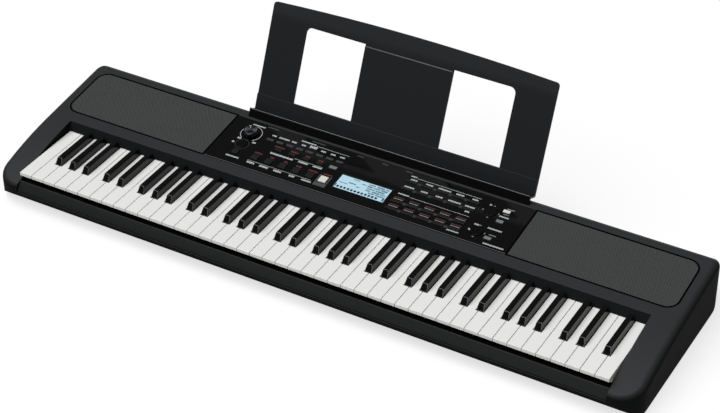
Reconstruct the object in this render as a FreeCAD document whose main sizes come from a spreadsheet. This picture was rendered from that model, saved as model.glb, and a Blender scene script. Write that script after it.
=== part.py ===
import FreeCAD, Part
import math
import os
import re
import Sketcher

# Portable arranger keyboard with 76 keys.
# +X runs to the treble end, +Y to the rear, +Z up. The origin is on the floor, under the middle of the outline.
# Every piece is drawn about one datum: the middle of the white keys' front edge, at the height of their tops.

sizes = {
    # keys
    "key_pitch": 23.5,
    "key_gap": 0.9,
    "white_length": 158.0,
    "key_depth": 15.0,
    "key_skin": 2.4,
    "key_wall": 1.8,
    "key_edge": 0.7,
    "lip_height": 6.0,
    "lip_reach": 11.0,
    "black_width": 12.4,
    "black_top_width": 8.8,
    "black_front": 47.5,
    "black_rake": 6.0,
    "black_height": 11.5,
    "black_back": 137.0,
    "black_edge": 1.0,
    "black_gap": 1.0,
    "pair_shift": 2.2,
    "trio_shift": 3.3,
    # pivot of the keys
    "pivot_back": 192.0,
    "pivot_drop": 9.0,
    "pivot_radius": 3.0,
    "pivot_fit": 0.05,
    "clip_radius": 6.0,
    "clip_width": 6.0,
    "clip_slot": 5.2,
    "web_thickness": 2.0,
    "stalk_drop": 3.5,
    "stalk_height": 10.0,
    # key chassis, its felt, contact board and rubber
    "chassis_drop": 28.5,
    "chassis_front": 5.0,
    "chassis_back": 202.0,
    "chassis_plate": 2.5,
    "chassis_rib": 3.0,
    "chassis_margin": 3.0,
    "felt_front": 6.0,
    "felt_width": 12.0,
    "felt_height": 3.4,
    "board_thickness": 1.6,
    "contact_front": 106.0,
    "contact_width": 30.0,
    "rubber_front": 112.0,
    "rubber_width": 12.0,
    "rubber_height": 7.2,
    # case
    "cheek_width": 48.5,
    "case_front": 12.0,
    "case_rear": 358.0,
    "case_bottom": 60.0,
    "case_wall": 3.0,
    "deck": 6.0,
    "parting": 33.0,
    "undercut_top": 40.0,
    "undercut_run": 22.0,
    "front_corner": 40.0,
    "rear_corner": 76.0,
    "rim_radius": 12.0,
    "cheek_front": 21.0,
    "fall_back": 139.5,
    "fall_height": 15.7,
    "fall_wall": 3.0,
    "fall_lift": 1.5,
    "fall_foot": 1.6,
    "fall_lean": 27.0,
    "panel_tilt": 6.6,
    "ridge_back": 296.0,
    "ridge_radius": 24.0,
    "rear_drop": 20.0,
    "well_gap": 1.25,
    # key slip
    "slip_gap": 0.6,
    "slip_top": 17.4,
    "slip_back": 1.2,
    "slip_lean": 10.5,
    "slip_edge": 4.0,
    "slip_rail": 2.5,
    # screws and feet
    "boss_radius": 5.0,
    "boss_top": 4.0,
    "pilot_depth": 12.0,
    "pilot_radius": 1.5,
    "screw_fit": 0.05,
    "screw_grip": 10.0,
    "screw_hole": 1.9,
    "head_radius": 3.0,
    "head_height": 2.4,
    "sink_radius": 3.6,
    "sink_depth": 12.0,
    "rear_screw_inset": 98.5,
    "rear_screw_back": 325.0,
    "cheek_screw_inset": 24.5,
    "cheek_screw_back": 62.0,
    "cheek_boss_drop": 2.5,
    "foot_radius": 9.0,
    "foot_height": 4.0,
    "foot_inset": 58.5,
    "foot_near": 40.0,
    "foot_far": 318.0,
    # control panel and grilles, measured up the tilted deck from the top of the fall
    "panel_near": 29.5,
    "panel_back_margin": 25.3,
    "panel_side_margin": 40.0,
    "panel_sheet": 2.5,
    "panel_gap": 0.5,
    "panel_groove": 1.5,
    "panel_edge": 1.0,
    "panel_ledge": 13.0,
    "grille_inset": 22.5,
    "grille_sheet": 2.0,
    "grille_gap": 1.2,
    "grille_corner": 20.0,
    # speakers
    "speaker_up": 90.5,
    "speaker_radius": 52.0,
    "speaker_flange": 2.0,
    "cone_radius": 44.0,
    "cone_depth": 16.0,
    "dust_cap": 14.0,
    "magnet_radius": 26.0,
    "magnet_depth": 33.0,
    "basket_depth": 22.0,
    # buttons
    "button_gap": 0.35,
    "button_proud": 1.3,
    "flange_gap": 0.2,
    "flange_sheet": 1.2,
    "flange_reach": 1.2,
    "stem_side": 4.0,
    "stem_end": 9.2,
    "switch_radius": 2.6,
    "switch_top": 10.4,
    "panel_board_drop": 13.0,
    "panel_board_margin": 2.0,
    "post_radius": 4.0,
    "post_inset": 7.0,
    "post_near": 47.5,
    "post_far": 120.5,
    "power_rise": 21.1,
    "power_radius": 9.5,
    "demo_up": 57.9,
    "demo_side": 11.0,
    "style_drop": 7.0,
    "style_pitch": 19.0,
    "style_length": 13.0,
    "style_width": 4.6,
    "memory_gap": 25.0,
    "memory_pitch": 26.25,
    "song_rise": 31.2,
    "memory_up": 58.9,
    "memory_length": 13.0,
    "song_width": 5.0,
    "memory_width": 12.0,
    "start_gap": 19.5,
    "start_length": 13.5,
    "start_width": 14.0,
    "tap_rise": 32.2,
    "tap_width": 6.0,
    "voice_gap": 17.5,
    "voice_pitch": 27.8,
    "voice_rise": 33.2,
    "voice_length": 21.0,
    "voice_width": 5.0,
    "number_up": 44.8,
    "number_rise": 18.1,
    "cursor_gap": 34.8,
    "cursor_rise": 49.3,
    "cursor_near": 56.9,
    "cursor_radius": 10.5,
    "side_gap": 23.0,
    "side_near": 48.8,
    "side_rise": 42.3,
    "side_far_rise": 25.1,
    "side_length": 12.0,
    "side_width": 6.0,
    # volume knob
    "knob_gap": 37.6,
    "knob_rise": 29.2,
    "knob_radius": 13.0,
    "knob_height": 8.0,
    "knob_edge": 1.5,
    "knob_lift": 0.6,
    "knob_mark": 1.4,
    "knob_turn": 36.0,
    "shaft_radius": 3.0,
    "shaft_fit": 0.05,
    "shaft_end": 10.0,
    "shaft_hole": 4.0,
    "pot_radius": 8.0,
    "pot_top": 5.5,
    "pot_hole": 11.0,
    # display
    "display_x": 2.5,
    "display_up": 67.5,
    "display_length": 96.0,
    "display_width": 35.0,
    "display_frame": 4.0,
    # music rest
    "rest_width": 522.0,
    "rest_height": 185.0,
    "rest_sheet": 3.0,
    "rest_lean": 23.0,
    "rest_back": 305.4,
    "rest_rise": 37.3,
    "rest_corner": 6.0,
    "shelf_depth": 19.0,
    "shelf_sheet": 3.0,
    "shelf_lip": 2.0,
    "skirt_gap": 0.4,
    "crown_rise": 7.0,
    "window_in": 81.0,
    "window_out": 192.0,
    "window_low": 26.0,
    "window_top_margin": 27.0,
    "window_corner": 10.0,
    "band_depth": 2.0,
    "centre_depth": 1.0,
    "centre_top_margin": 30.0,
    "step_edge": 0.6,
    "tab_out": 150.0,
    "tab_half": 30.0,
    "tab_depth": 28.0,
    "tab_gap": 0.3,
    "pocket_wall": 4.0,
    "pocket_top": 12.0,
    # battery bay
    "bay_inset": 218.5,
    "bay_length": 158.0,
    "bay_width": 34.0,
    "bay_height": 22.0,
    "bay_near": 301.0,
    "bay_wall": 4.0,
    "cover_margin": 4.0,
    "cover_sheet": 2.7,
    "tongue_reach": 3.0,
    "tongue_sheet": 2.0,
    "cover_gap": 0.3,
    "terminal_sheet": 0.8,
    "terminal_side": 9.0,
    # sockets in the rear wall
    "socket_drop": 46.0,
    "socket_pitch": 30.0,
    "socket_inset": 378.5,
    "socket_body": 15.0,
    "socket_length": 22.0,
    "barrel_radius": 5.2,
    "barrel_gap": 0.3,
    "phone_radius": 3.2,
    "aux_radius": 1.8,
    "power_bore": 2.8,
    "power_pin": 1.0,
    "socket_depth": 24.0,
    "usb_width": 12.0,
    "usb_height": 11.0,
    "usb_mouth_width": 8.6,
    "usb_mouth_height": 7.8,
    # main board
    "main_half": 110.0,
    "main_near": 214.0,
    "main_width": 84.0,
    "main_lift": 8.0,
    "main_post_inset": 8.0,
    "main_post_radius": 3.5,
    "chip_side": 24.0,
    "chip_height": 3.0,
    "sink_height": 14.0,
}

# pitch classes of the white keys, from the lowest key to the highest
octave = ["c", "d", "e", "f", "g", "a", "b"]
white_names = ["e", "f", "g", "a", "b"] + octave * 5 + ["c", "d", "e", "f", "g"]
# black keys, each named by the white key on its left, with its shift from the crack between the white keys
black_shift = {"c": "-pair_shift", "d": "pair_shift", "f": "-trio_shift", "g": "0", "a": "trio_shift"}

# places and spans that follow from the sizes: the case from its keys, the controls outwards from the display
derived = {
    "key_half": f"key_pitch * {len(white_names)} / 2",
    "well_half": "key_half + well_gap",
    "case_half": "well_half + cheek_width",
    "cheek_screw_out": "case_half - cheek_screw_inset",
    "rear_screw_pitch": "(case_half - rear_screw_inset) / 2",
    "foot_out": "case_half - foot_inset",
    "bay_x": "case_half - bay_inset",
    "socket_x": "socket_inset - case_half",
    "start_x": "display_x - display_length / 2 - start_gap",
    "memory_x": "start_x - memory_gap - memory_pitch * 4",
    "song_x": "memory_x + memory_pitch",
    "knob_x": "memory_x - knob_gap",
    "voice_x": "display_x + display_length / 2 + voice_gap",
    "cursor_x": "voice_x + voice_pitch * 4 + cursor_gap",
    "side_x": "cursor_x + side_gap",
    "panel_half": "side_x + panel_side_margin",
    "grille_end": "case_half - grille_inset",
    "speaker_out": "(panel_half + grille_end) / 2",
    "power_up": "demo_up + power_rise",
    "knob_up": "power_up + knob_rise",
    "song_up": "memory_up + song_rise",
    "tap_up": "memory_up + tap_rise",
    "voice_up": "number_up + number_rise + voice_rise",
    "top_row_up": "voice_up + number_rise",
    "style_up": "top_row_up - style_drop",
    "cursor_far": "cursor_near + cursor_rise",
    "side_middle": "side_near + side_rise",
    "side_far": "side_middle + side_far_rise",
    "panel_far": "top_row_up + panel_back_margin",
    "fall_near": "fall_back - fall_foot",
    "fall_run": "(fall_height - fall_lift) * tan(fall_lean)",
    "window_high": "rest_height - window_top_margin",
    "centre_top": "rest_height - centre_top_margin",
    "skirt_top": "rest_rise + shelf_depth * sin(rest_lean) - skirt_gap",
    "skirt_back": "rest_back - shelf_depth * cos(rest_lean)",
    "under_skirt": "fall_height + (skirt_back - fall_back) * tan(panel_tilt)",
    "skirt_drop": "(skirt_top - under_skirt) / (cos(rest_lean) - sin(rest_lean) * tan(panel_tilt))",
    "crown_half": "rest_width / 2 - rest_corner",
}

doc = FreeCAD.newDocument("arranger_keyboard")
sheet = doc.addObject("Spreadsheet::Sheet", "Sizes")
for row, (alias, value) in enumerate(sizes.items(), start=1):
    sheet.set(f"A{row}", str(value))
    sheet.setAlias(f"A{row}", alias)
doc.recompute()

nodes = {}
# edges and points closer than this count as one, and a curve's middle may lie this far off a wall
same = 0.001
near_enough = 0.01


def full(text):
    # names of sizes become references to the sheet, and names of what follows from them its own terms
    def term(word):
        name = word[0]
        if name in derived:
            return f"({full(derived[name])})"
        return f"Sizes.{name}" if name in sizes else name

    return re.sub(r"[a-z]\w*", term, text)


def number(text):
    value = sheet.evalExpression(full(text))
    return float(getattr(value, "Value", value))


def bind(thing, **expressions):
    for name, text in expressions.items():
        thing.setExpression(name, full(text))
    return thing


def place(thing, x="0", y="0", z="0", turn=None, axis=(1, 0, 0)):
    if turn:
        thing.Placement.Rotation = FreeCAD.Rotation(FreeCAD.Vector(*axis), 1)
        thing.setExpression("Placement.Rotation.Angle", full(turn))
    for letter, text in zip("xyz", (x, y, z)):
        thing.setExpression(f"Placement.Base.{letter}", full(text))
    return thing


def box(name, low, high):
    # a block between two corners given as expressions
    block = doc.addObject("Part::Box", name)
    sides = [f"({top}) - ({bottom})" for bottom, top in zip(low, high)]
    bind(block, Length=sides[0], Width=sides[1], Height=sides[2])
    return place(block, *low)


def rod(name, radius, length, x="0", y="0", z="0", turn=None, axis=(1, 0, 0)):
    cylinder = doc.addObject("Part::Cylinder", name)
    bind(cylinder, Radius=radius, Height=length)
    return place(cylinder, x, y, z, turn, axis)


def fuse(name, pieces):
    union = doc.addObject("Part::MultiFuse", name)
    union.Shapes = pieces
    union.Refine = True
    return union


def cut(name, base, tools):
    tool = tools[0] if len(tools) == 1 else group(f"{name}_tools", tools)
    rest = doc.addObject("Part::Cut", name)
    rest.Base = base
    rest.Tool = tool
    rest.Refine = True
    return rest


def common(name, first, second):
    shared = doc.addObject("Part::Common", name)
    shared.Base = first
    shared.Tool = second
    return shared


def group(name, pieces):
    bundle = doc.addObject("Part::Compound", name)
    bundle.Links = pieces
    return bundle


def body_sketch(body, role, name, lift="0"):
    sketch = body.newObject("Sketcher::SketchObject", name)
    plane = next(item for item in body.Origin.OriginFeatures if item.Role == role)
    sketch.AttachmentSupport = (plane, [""])
    sketch.MapMode = "FlatFace"
    if lift != "0":
        sketch.setExpression("AttachmentOffset.Base.z", full(lift))
    return sketch


def free_sketch(name, rotation):
    sketch = doc.addObject("Sketcher::SketchObject", name)
    sketch.Placement = FreeCAD.Placement(FreeCAD.Vector(), rotation)
    return sketch


def pin_point(sketch, edge, spot, u, v):
    # fixes one end of an edge at a place given by two expressions
    for kind, text in (("DistanceX", u), ("DistanceY", v)):
        index = sketch.addConstraint(Sketcher.Constraint(kind, -1, 1, edge, spot, number(text)))
        sketch.setExpression(f"Constraints[{index}]", full(text))


def draw_polygon(sketch, points):
    corners = [FreeCAD.Vector(number(u), number(v), 0) for u, v in points]
    first = len(sketch.Geometry)
    count = len(corners)
    for i in range(count):
        sketch.addGeometry(Part.LineSegment(corners[i], corners[(i + 1) % count]))
    for i in range(count):
        sketch.addConstraint(Sketcher.Constraint("Coincident", first + i, 2, first + (i + 1) % count, 1))
    for i, (u, v) in enumerate(points):
        pin_point(sketch, first + i, 1, u, v)
    return sketch


def draw_circle(sketch, u, v, radius):
    centre = FreeCAD.Vector(number(u), number(v), 0)
    edge = sketch.addGeometry(Part.Circle(centre, FreeCAD.Vector(0, 0, 1), number(radius)))
    pin_point(sketch, edge, 3, u, v)
    index = sketch.addConstraint(Sketcher.Constraint("Radius", edge, number(radius)))
    sketch.setExpression(f"Constraints[{index}]", full(radius))
    return sketch


def draw_bow(sketch, half, low, rise):
    # a chord with a shallow arc over it
    ends = [FreeCAD.Vector(number(f"{sign}{half}"), number(low), 0) for sign in ("-", "")]
    crest = FreeCAD.Vector(0, number(f"{low} + {rise}"), 0)
    chord = sketch.addGeometry(Part.LineSegment(*ends))
    arc = sketch.addGeometry(Part.Arc(ends[1], crest, ends[0]))
    sketch.addConstraint(Sketcher.Constraint("Coincident", chord, 2, arc, 1))
    sketch.addConstraint(Sketcher.Constraint("Coincident", arc, 2, chord, 1))
    pin_point(sketch, chord, 1, f"-{half}", low)
    pin_point(sketch, chord, 2, half, low)
    radius = f"({half} * {half} + {rise} * {rise}) / (2 * {rise})"
    index = sketch.addConstraint(Sketcher.Constraint("Radius", arc, number(radius)))
    sketch.setExpression(f"Constraints[{index}]", full(radius))
    return sketch


def new_body(name):
    return doc.addObject("PartDesign::Body", name)


def pad(body, name, sketch, length, side="One side", reverse=False):
    feature = body.newObject("PartDesign::Pad", name)
    feature.Profile = sketch
    feature.SideType = side
    feature.Reversed = reverse
    return bind(feature, Length=length)


def pocket(body, name, sketch, length, side="One side", reverse=False):
    before = settled(body).Shape.Volume
    feature = body.newObject("PartDesign::Pocket", name)
    feature.Profile = sketch
    feature.SideType = side
    feature.Reversed = reverse
    bind(feature, Length=length)
    if settled(body).Shape.Volume > before - same:
        raise ValueError(f"{name} removes nothing")
    return feature


def settled(thing):
    doc.recompute()
    return thing


def round_edges(body, name, base, radius, wanted):
    # rounds the edges of the base feature that the given test picks
    settled(body)
    picked = [f"Edge{i}" for i, edge in enumerate(base.Shape.Edges, start=1) if wanted(edge.BoundBox)]
    feature = body.newObject("PartDesign::Fillet", name)
    feature.Base = (base, picked)
    return bind(feature, Radius=radius)


def finish(label, thing, frame="datum"):
    # names a piece and moves it from the frame it was drawn in to its place on the floor
    if thing.TypeId in ("Part::Box", "Part::Cylinder"):
        thing = group(label, [thing])
    thing.Label = label
    datum_y = "-(overall_rear - case_front) / 2".replace("overall_rear", rest_rear)
    datum_z = "case_bottom + foot_height"
    if frame == "datum":
        place(thing, "0", datum_y, datum_z)
    if frame == "panel":
        place(thing, "0", f"{datum_y} + fall_back", f"{datum_z} + fall_height", "panel_tilt")
    if frame == "rest":
        place(thing, "0", f"{datum_y} + rest_back", f"{datum_z} + rest_rise", "rest_lean", (-1, 0, 0))
    nodes[label] = thing
    return thing


def on_panel(thing):
    # sets a tool drawn on the control panel into the case
    return place(thing, "0", "fall_back", "fall_height", "panel_tilt")


def on_rest(thing):
    return place(thing, "0", "rest_back", "rest_rise", "rest_lean", (-1, 0, 0))


# the music rest's top edge is the rearmost point of the outline
rest_rear = "(rest_back + (rest_height + crown_rise) * sin(rest_lean) + rest_sheet * cos(rest_lean))"
far = "(case_half * 2 + case_rear)"


# Keys

def key_rear(body, middle):
    # stalk and clip that hang a key on the pivot bar
    stalk = body_sketch(body, "XY_Plane", "stalk_outline", "-stalk_drop")
    left = f"{middle} - clip_width / 2"
    right = f"{middle} + clip_width / 2"
    near = "white_length - key_wall"
    draw_polygon(stalk, [(left, near), (right, near), (right, "pivot_back"), (left, "pivot_back")])
    pad(body, "stalk", stalk, "stalk_height", reverse=True)
    ring = body_sketch(body, "YZ_Plane", "clip_outline", middle)
    draw_circle(ring, "pivot_back", "-pivot_drop", "clip_radius")
    pad(body, "clip", ring, "clip_width", "Symmetric")
    bore = body_sketch(body, "YZ_Plane", "bore_outline", middle)
    draw_circle(bore, "pivot_back", "-pivot_drop", "pivot_radius + pivot_fit")
    pocket(body, "bore", bore, "clip_width * 2", "Symmetric")
    slot = body_sketch(body, "YZ_Plane", "slot_outline", middle)
    near_side = "pivot_back - clip_slot / 2"
    far_side = "pivot_back + clip_slot / 2"
    low = "-pivot_drop - clip_radius * 2"
    draw_polygon(slot, [(near_side, low), (far_side, low),
                        (far_side, "-pivot_drop"), (near_side, "-pivot_drop")])
    pocket(body, "slot", slot, "clip_width * 2", "Symmetric")


def white_outline(left_notch, right_notch, inset, near, back):
    # outline seen from above, with a notch beside each neighbouring black key
    half = f"(key_pitch - key_gap) / 2 - {inset}"
    notch = f"black_front - black_gap - {inset}"
    left, right = white_flanks(left_notch, right_notch, inset)
    points = [(f"-({half})", near), (half, near)]
    if right_notch is not None:
        points += [(half, notch), (right, notch)]
    points += [(right, back), (left, back)]
    if left_notch is not None:
        points += [(left, notch), (f"-({half})", notch)]
    return points


def white_flanks(left_notch, right_notch, inset="0"):
    half = f"(key_pitch - key_gap) / 2 - {inset}"
    clear = f"black_width / 2 + black_gap + {inset}"
    left = f"-({half})" if left_notch is None else f"-key_pitch / 2 + ({left_notch}) + {clear}"
    right = half if right_notch is None else f"key_pitch / 2 + ({right_notch}) - ({clear})"
    return left, right


def white_key(name, left_notch, right_notch):
    body = new_body(name)
    outline = body_sketch(body, "XY_Plane", "outline")
    draw_polygon(outline, white_outline(left_notch, right_notch, "0", "0", "white_length"))
    slab = pad(body, "slab", outline, "key_depth", reverse=True)
    tops = lambda edge: edge.ZMin > -same
    round_edges(body, "top_edges", slab, "key_edge", tops)
    lip = body_sketch(body, "YZ_Plane", "lip_outline")
    draw_polygon(lip, [("-lip_reach", "-key_depth * 2"), ("lip_reach", "-key_depth * 2"),
                       ("lip_reach", "-lip_height"), ("-lip_reach", "-lip_height")])
    pocket(body, "lip", lip, "key_pitch * 2", "Symmetric")
    hollow = body_sketch(body, "XY_Plane", "hollow_outline", "-key_depth")
    draw_polygon(hollow, white_outline(left_notch, right_notch, "key_wall", "lip_reach + key_wall",
                                       "white_length - key_wall"))
    pocket(body, "hollow", hollow, "key_depth - key_skin", reverse=True)
    left, right = white_flanks(left_notch, right_notch)
    key_rear(body, f"(({left}) + ({right})) / 2")
    return body


def black_key(name):
    body = new_body(name)
    half = "black_width / 2"
    foot = body_sketch(body, "XY_Plane", "foot_outline")
    draw_polygon(foot, [(f"-{half}", "black_front"), (half, "black_front"),
                        (half, "white_length"), (f"-{half}", "white_length")])
    pad(body, "foot", foot, "key_depth", reverse=True)
    hollow = body_sketch(body, "XY_Plane", "hollow_outline", "-key_depth")
    inner = f"{half} - key_wall"
    draw_polygon(hollow, [(f"-({inner})", "black_front + key_wall"), (inner, "black_front + key_wall"),
                          (inner, "white_length - key_wall"), (f"-({inner})", "white_length - key_wall")])
    pocket(body, "hollow", hollow, "key_depth - key_skin", reverse=True)
    base = body_sketch(body, "XY_Plane", "cap_base")
    draw_polygon(base, [(f"-{half}", "black_front"), (half, "black_front"),
                        (half, "black_back"), (f"-{half}", "black_back")])
    crown = body_sketch(body, "XY_Plane", "cap_crown", "black_height")
    top = "black_top_width / 2"
    draw_polygon(crown, [(f"-{top}", "black_front + black_rake"), (top, "black_front + black_rake"),
                         (top, "black_back"), (f"-{top}", "black_back")])
    cap = body.newObject("PartDesign::AdditiveLoft", "cap")
    cap.Profile = base
    cap.Sections = [crown]
    cap.Ruled = True
    key_rear(body, "0")
    crest = number("black_height") - same
    tops = lambda edge: edge.ZMin > crest
    round_edges(body, "crown_edges", body.Tip, "black_edge", tops)
    return body


def white_side(index, step):
    # shift of the black key on one side of a white key, or nothing where there is none
    low = index if step > 0 else index - 1
    if low < 0 or low + 1 >= len(white_names):
        return None
    return black_shift.get(white_names[low])


masters = {}
key_sets = {}


def key_link(master, label, x):
    copy = doc.addObject("App::Link", "key")
    copy.LinkedObject = master
    copy.setExpression("Placement.Base.x", full(x))
    key_sets.setdefault(label, []).append(copy)


def key_label(index, name, black):
    # the middle octave's keys are single pieces, the others are the sets that share a moulding
    number_of_octave = min(max((index + 2) // 7, 1), 5)
    if number_of_octave == 3:
        return f"black_key_{name}_sharp" if black else f"white_key_{name}"
    family = "black_keys" if black else "white_keys_c_e_g_b" if name in "cegb" else "white_keys_d_f_a"
    return f"{family}_octave_{number_of_octave}"


masters["black"] = black_key("black_key_form")
for i, name in enumerate(white_names):
    notches = (white_side(i, -1), white_side(i, 1))
    if notches not in masters:
        masters[notches] = white_key(f"white_key_form_{name}", *notches)
    x = f"key_pitch * ({i} + 0.5) - key_half"
    key_link(masters[notches], key_label(i, name, False), x)
    if notches[1] is not None:
        key_link(masters["black"], key_label(i, name, True), f"{x} + key_pitch / 2 + ({notches[1]})")
for label, links in key_sets.items():
    finish(label, group(label, links))


# Key chassis with the pivot bar, and what lies on it

chassis_half = "(key_half - chassis_margin)"
floor_top = "(deck - case_bottom)"
plate = box("chassis_deck", (f"-{chassis_half}", "chassis_front", "-chassis_drop - chassis_plate"),
            (chassis_half, "chassis_back", "-chassis_drop"))
web = box("pivot_web", (f"-{chassis_half}", "pivot_back - web_thickness / 2", "-chassis_drop"),
          (chassis_half, "pivot_back + web_thickness / 2", "-pivot_drop"))
bar = rod("pivot_bar", "pivot_radius", f"2 * {chassis_half}", f"-{chassis_half}", "pivot_back", "-pivot_drop",
          "90", (0, 1, 0))
ribs = []
for near in ("(undercut_run - case_front + deck)", "(chassis_front + chassis_back) / 2",
             "chassis_back - chassis_rib"):
    ribs.append(box("chassis_rib", (f"-{chassis_half}", near, floor_top),
                    (chassis_half, f"{near} + chassis_rib", "-chassis_drop - chassis_plate")))
finish("key_chassis", fuse("chassis", [plate, web, bar] + ribs))
finish("key_stop_felt", box("felt", (f"-{chassis_half}", "felt_front", "-chassis_drop"),
                            (chassis_half, "felt_front + felt_width", "-chassis_drop + felt_height")))
board_top = "(board_thickness - chassis_drop)"
finish("key_contact_board", box("contact_board", (f"-{chassis_half}", "contact_front", "-chassis_drop"),
                                (chassis_half, "contact_front + contact_width", board_top)))
finish("contact_rubber", box("rubber", (f"-{chassis_half}", "rubber_front", board_top),
                             (chassis_half, "rubber_front + rubber_width", f"{board_top} + rubber_height")))


# Case: one rounded outline, hollowed and split at the parting line

def side_profile():
    # outline seen from the treble end: cheek curve, tilted deck, ridge, sloped back and undercut front
    sketch = free_sketch("case_profile", FreeCAD.Rotation(FreeCAD.Vector(1, 1, 1), 120))
    ridge_top = "fall_height + (ridge_back - fall_back) * tan(panel_tilt)"
    corners = [("undercut_run - case_front", "-case_bottom"), ("case_rear", "-case_bottom"),
               ("case_rear", "-rear_drop"), ("ridge_back", ridge_top), ("fall_back", "fall_height"),
               ("-case_front", "-cheek_front"), ("-case_front", "-undercut_top")]
    spots = [FreeCAD.Vector(number(u), number(v), 0) for u, v in corners]
    start, end = spots[4], spots[5]
    tilt = math.radians(number("panel_tilt"))
    down = FreeCAD.Vector(math.sin(tilt), -math.cos(tilt), 0)
    chord = end - start
    centre = start + down * (chord.dot(chord) / (2 * chord.dot(down)))
    crest = centre - (centre - (start + end) / 2).normalize() * (centre - start).Length
    for i, spot in enumerate(spots):
        after = spots[(i + 1) % len(spots)]
        sketch.addGeometry(Part.Arc(spot, crest, after) if i == 4 else Part.LineSegment(spot, after))
    arc_ends = {True: 2, False: 1}
    flipped = sketch.Geometry[4].StartPoint.distanceToPoint(start) > same
    for i in range(len(spots)):
        after = (i + 1) % len(spots)
        this_end = arc_ends[not flipped] if i == 4 else 2
        next_start = arc_ends[flipped] if after == 4 else 1
        kind = "Tangent" if after == 4 else "Coincident"
        sketch.addConstraint(Sketcher.Constraint(kind, i, this_end, after, next_start))
    for i, (u, v) in enumerate(corners):
        pin_point(sketch, i, arc_ends[flipped] if i == 4 else 1, u, v)
    return sketch


def plan_outline():
    half = "case_half"
    sketch = free_sketch("case_plan", FreeCAD.Rotation())
    return draw_polygon(sketch, [(f"-{half}", "-case_front"), (half, "-case_front"),
                                 (half, "case_rear"), (f"-{half}", "case_rear")])


def extrude(name, sketch, direction, length, symmetric):
    solid = doc.addObject("Part::Extrusion", name)
    solid.Base = sketch
    solid.DirMode = "Custom"
    solid.Dir = direction
    solid.Solid = True
    solid.Symmetric = symmetric
    return bind(solid, LengthFwd=length)


def shrink(name, sketch, wall):
    inner = doc.addObject("Part::Offset2D", name)
    inner.Source = sketch
    inner.Join = "Intersection"
    return bind(inner, Value=f"-({wall})")


def fillet(name, base, radius, wanted):
    settled(base)
    size = number(radius)
    rounded = doc.addObject("Part::Fillet", name)
    rounded.Base = base
    rounded.Edges = [(i, size, size) for i, edge in enumerate(base.Shape.Edges, start=1) if wanted(edge)]
    return rounded


def loaf(name, profile, plan, skin, wall):
    # the case's outline, drawn in by a skin above and a wall at the sides: ridge, plan corners, then the rim
    long = extrude(f"{name}_long", profile, FreeCAD.Vector(1, 0, 0), "case_half * 4", True)
    crest = number(f"fall_height + (ridge_back - fall_back) * tan(panel_tilt) / 2 - {skin}")
    on_ridge = lambda edge: edge.BoundBox.XLength > same and edge.BoundBox.ZMin > crest
    long = fillet(f"{name}_ridge", long, f"ridge_radius - {skin}", on_ridge)
    tall = extrude(f"{name}_tall", plan, FreeCAD.Vector(0, 0, 1), "case_half * 2", True)
    fronts = lambda edge: edge.BoundBox.ZLength > same and edge.BoundBox.YMax < number("fall_back")
    tall = fillet(f"{name}_front", tall, f"front_corner - {wall}", fronts)
    rears = lambda edge: edge.BoundBox.ZLength > same and edge.BoundBox.YMin > number("ridge_back")
    tall = fillet(f"{name}_rear", tall, f"rear_corner - {wall}", rears)
    block = common(f"{name}_block", long, tall)
    around = lambda edge: is_rim(edge, skin, wall)
    return fillet(f"{name}_rim", block, f"rim_radius - {wall}", around)


def is_rim(edge, skin, wall):
    # edges between the upper surfaces and the walls that go round the case
    if edge.BoundBox.ZMin < number("-parting"):
        return False
    side = number(f"case_half - {wall}")
    front = max(number(f"{skin} - case_front"), number(f"{wall} - case_front"))
    back = min(number(f"case_rear - {skin}"), number(f"case_rear - {wall}"))
    middle = edge.valueAt((edge.FirstParameter + edge.LastParameter) / 2)
    if edge.BoundBox.YLength < same and edge.BoundBox.XLength > same:
        return min(abs(middle.y - front), abs(middle.y - back)) < near_enough
    radius = number(f"front_corner - {wall}")
    along = number(f"{wall} - case_front") + radius - middle.y
    if middle.y > number("fall_back"):
        radius = number(f"rear_corner - {wall}")
        along = middle.y - number(f"case_rear - {wall}") + radius
    across = max(abs(middle.x) - (side - radius), 0)
    return abs(math.hypot(across, max(along, 0)) - radius) < near_enough


profile = side_profile()
plan = plan_outline()
outer = loaf("outer", profile, plan, "0", "0")
inner = loaf("inner", shrink("inner_profile", profile, "deck"), shrink("inner_plan", plan, "case_wall"),
             "deck", "case_wall")
below = box("below_parting", (f"-{far}", f"-{far}", f"-{far}"), (far, far, "-parting"))
above = box("above_parting", (f"-{far}", f"-{far}", "-parting"), (far, far, far))

# screws, in the rear of the case and in the cheeks
screw_spots = [(f"rear_screw_pitch * {i}", "rear_screw_back", "boss_top") for i in (-2, -1, 0, 1, 2)]
screw_spots += [(f"cheek_screw_out * {side}", "cheek_screw_back", "-cheek_boss_drop") for side in (-1, 1)]


def lower_bosses():
    root = f"({floor_top} - deck / 2)"
    return [rod("lower_boss", "boss_radius", f"-parting - {root}", x, y, root) for x, y, top in screw_spots]


def lower_boss_holes():
    holes = []
    for x, y, top in screw_spots:
        holes.append(rod("screw_hole", "screw_hole", "case_bottom", x, y, "-case_bottom"))
        holes.append(rod("screw_sink", "sink_radius", "sink_depth", x, y, "-case_bottom"))
    return holes


def upper_bosses():
    return [rod("upper_boss", "boss_radius", f"{top} + parting", x, y, "-parting") for x, y, top in screw_spots]


def pilot_holes():
    return [rod("pilot_hole", "pilot_radius", "pilot_depth", x, y, "-parting") for x, y, top in screw_spots]


def case_screws():
    screws = []
    seat = "sink_depth - case_bottom"
    for x, y, top in screw_spots:
        head = rod("screw_head", "head_radius", "head_height", x, y, f"{seat} - head_height")
        shank = rod("screw_shank", "pilot_radius - screw_fit", f"screw_grip - parting - ({seat})", x, y, seat)
        screws.append(fuse("screw", [head, shank]))
    return group("screws", screws)


# Lower case: tray with the rail for the key slip, the battery bay, board posts and socket holes

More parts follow.
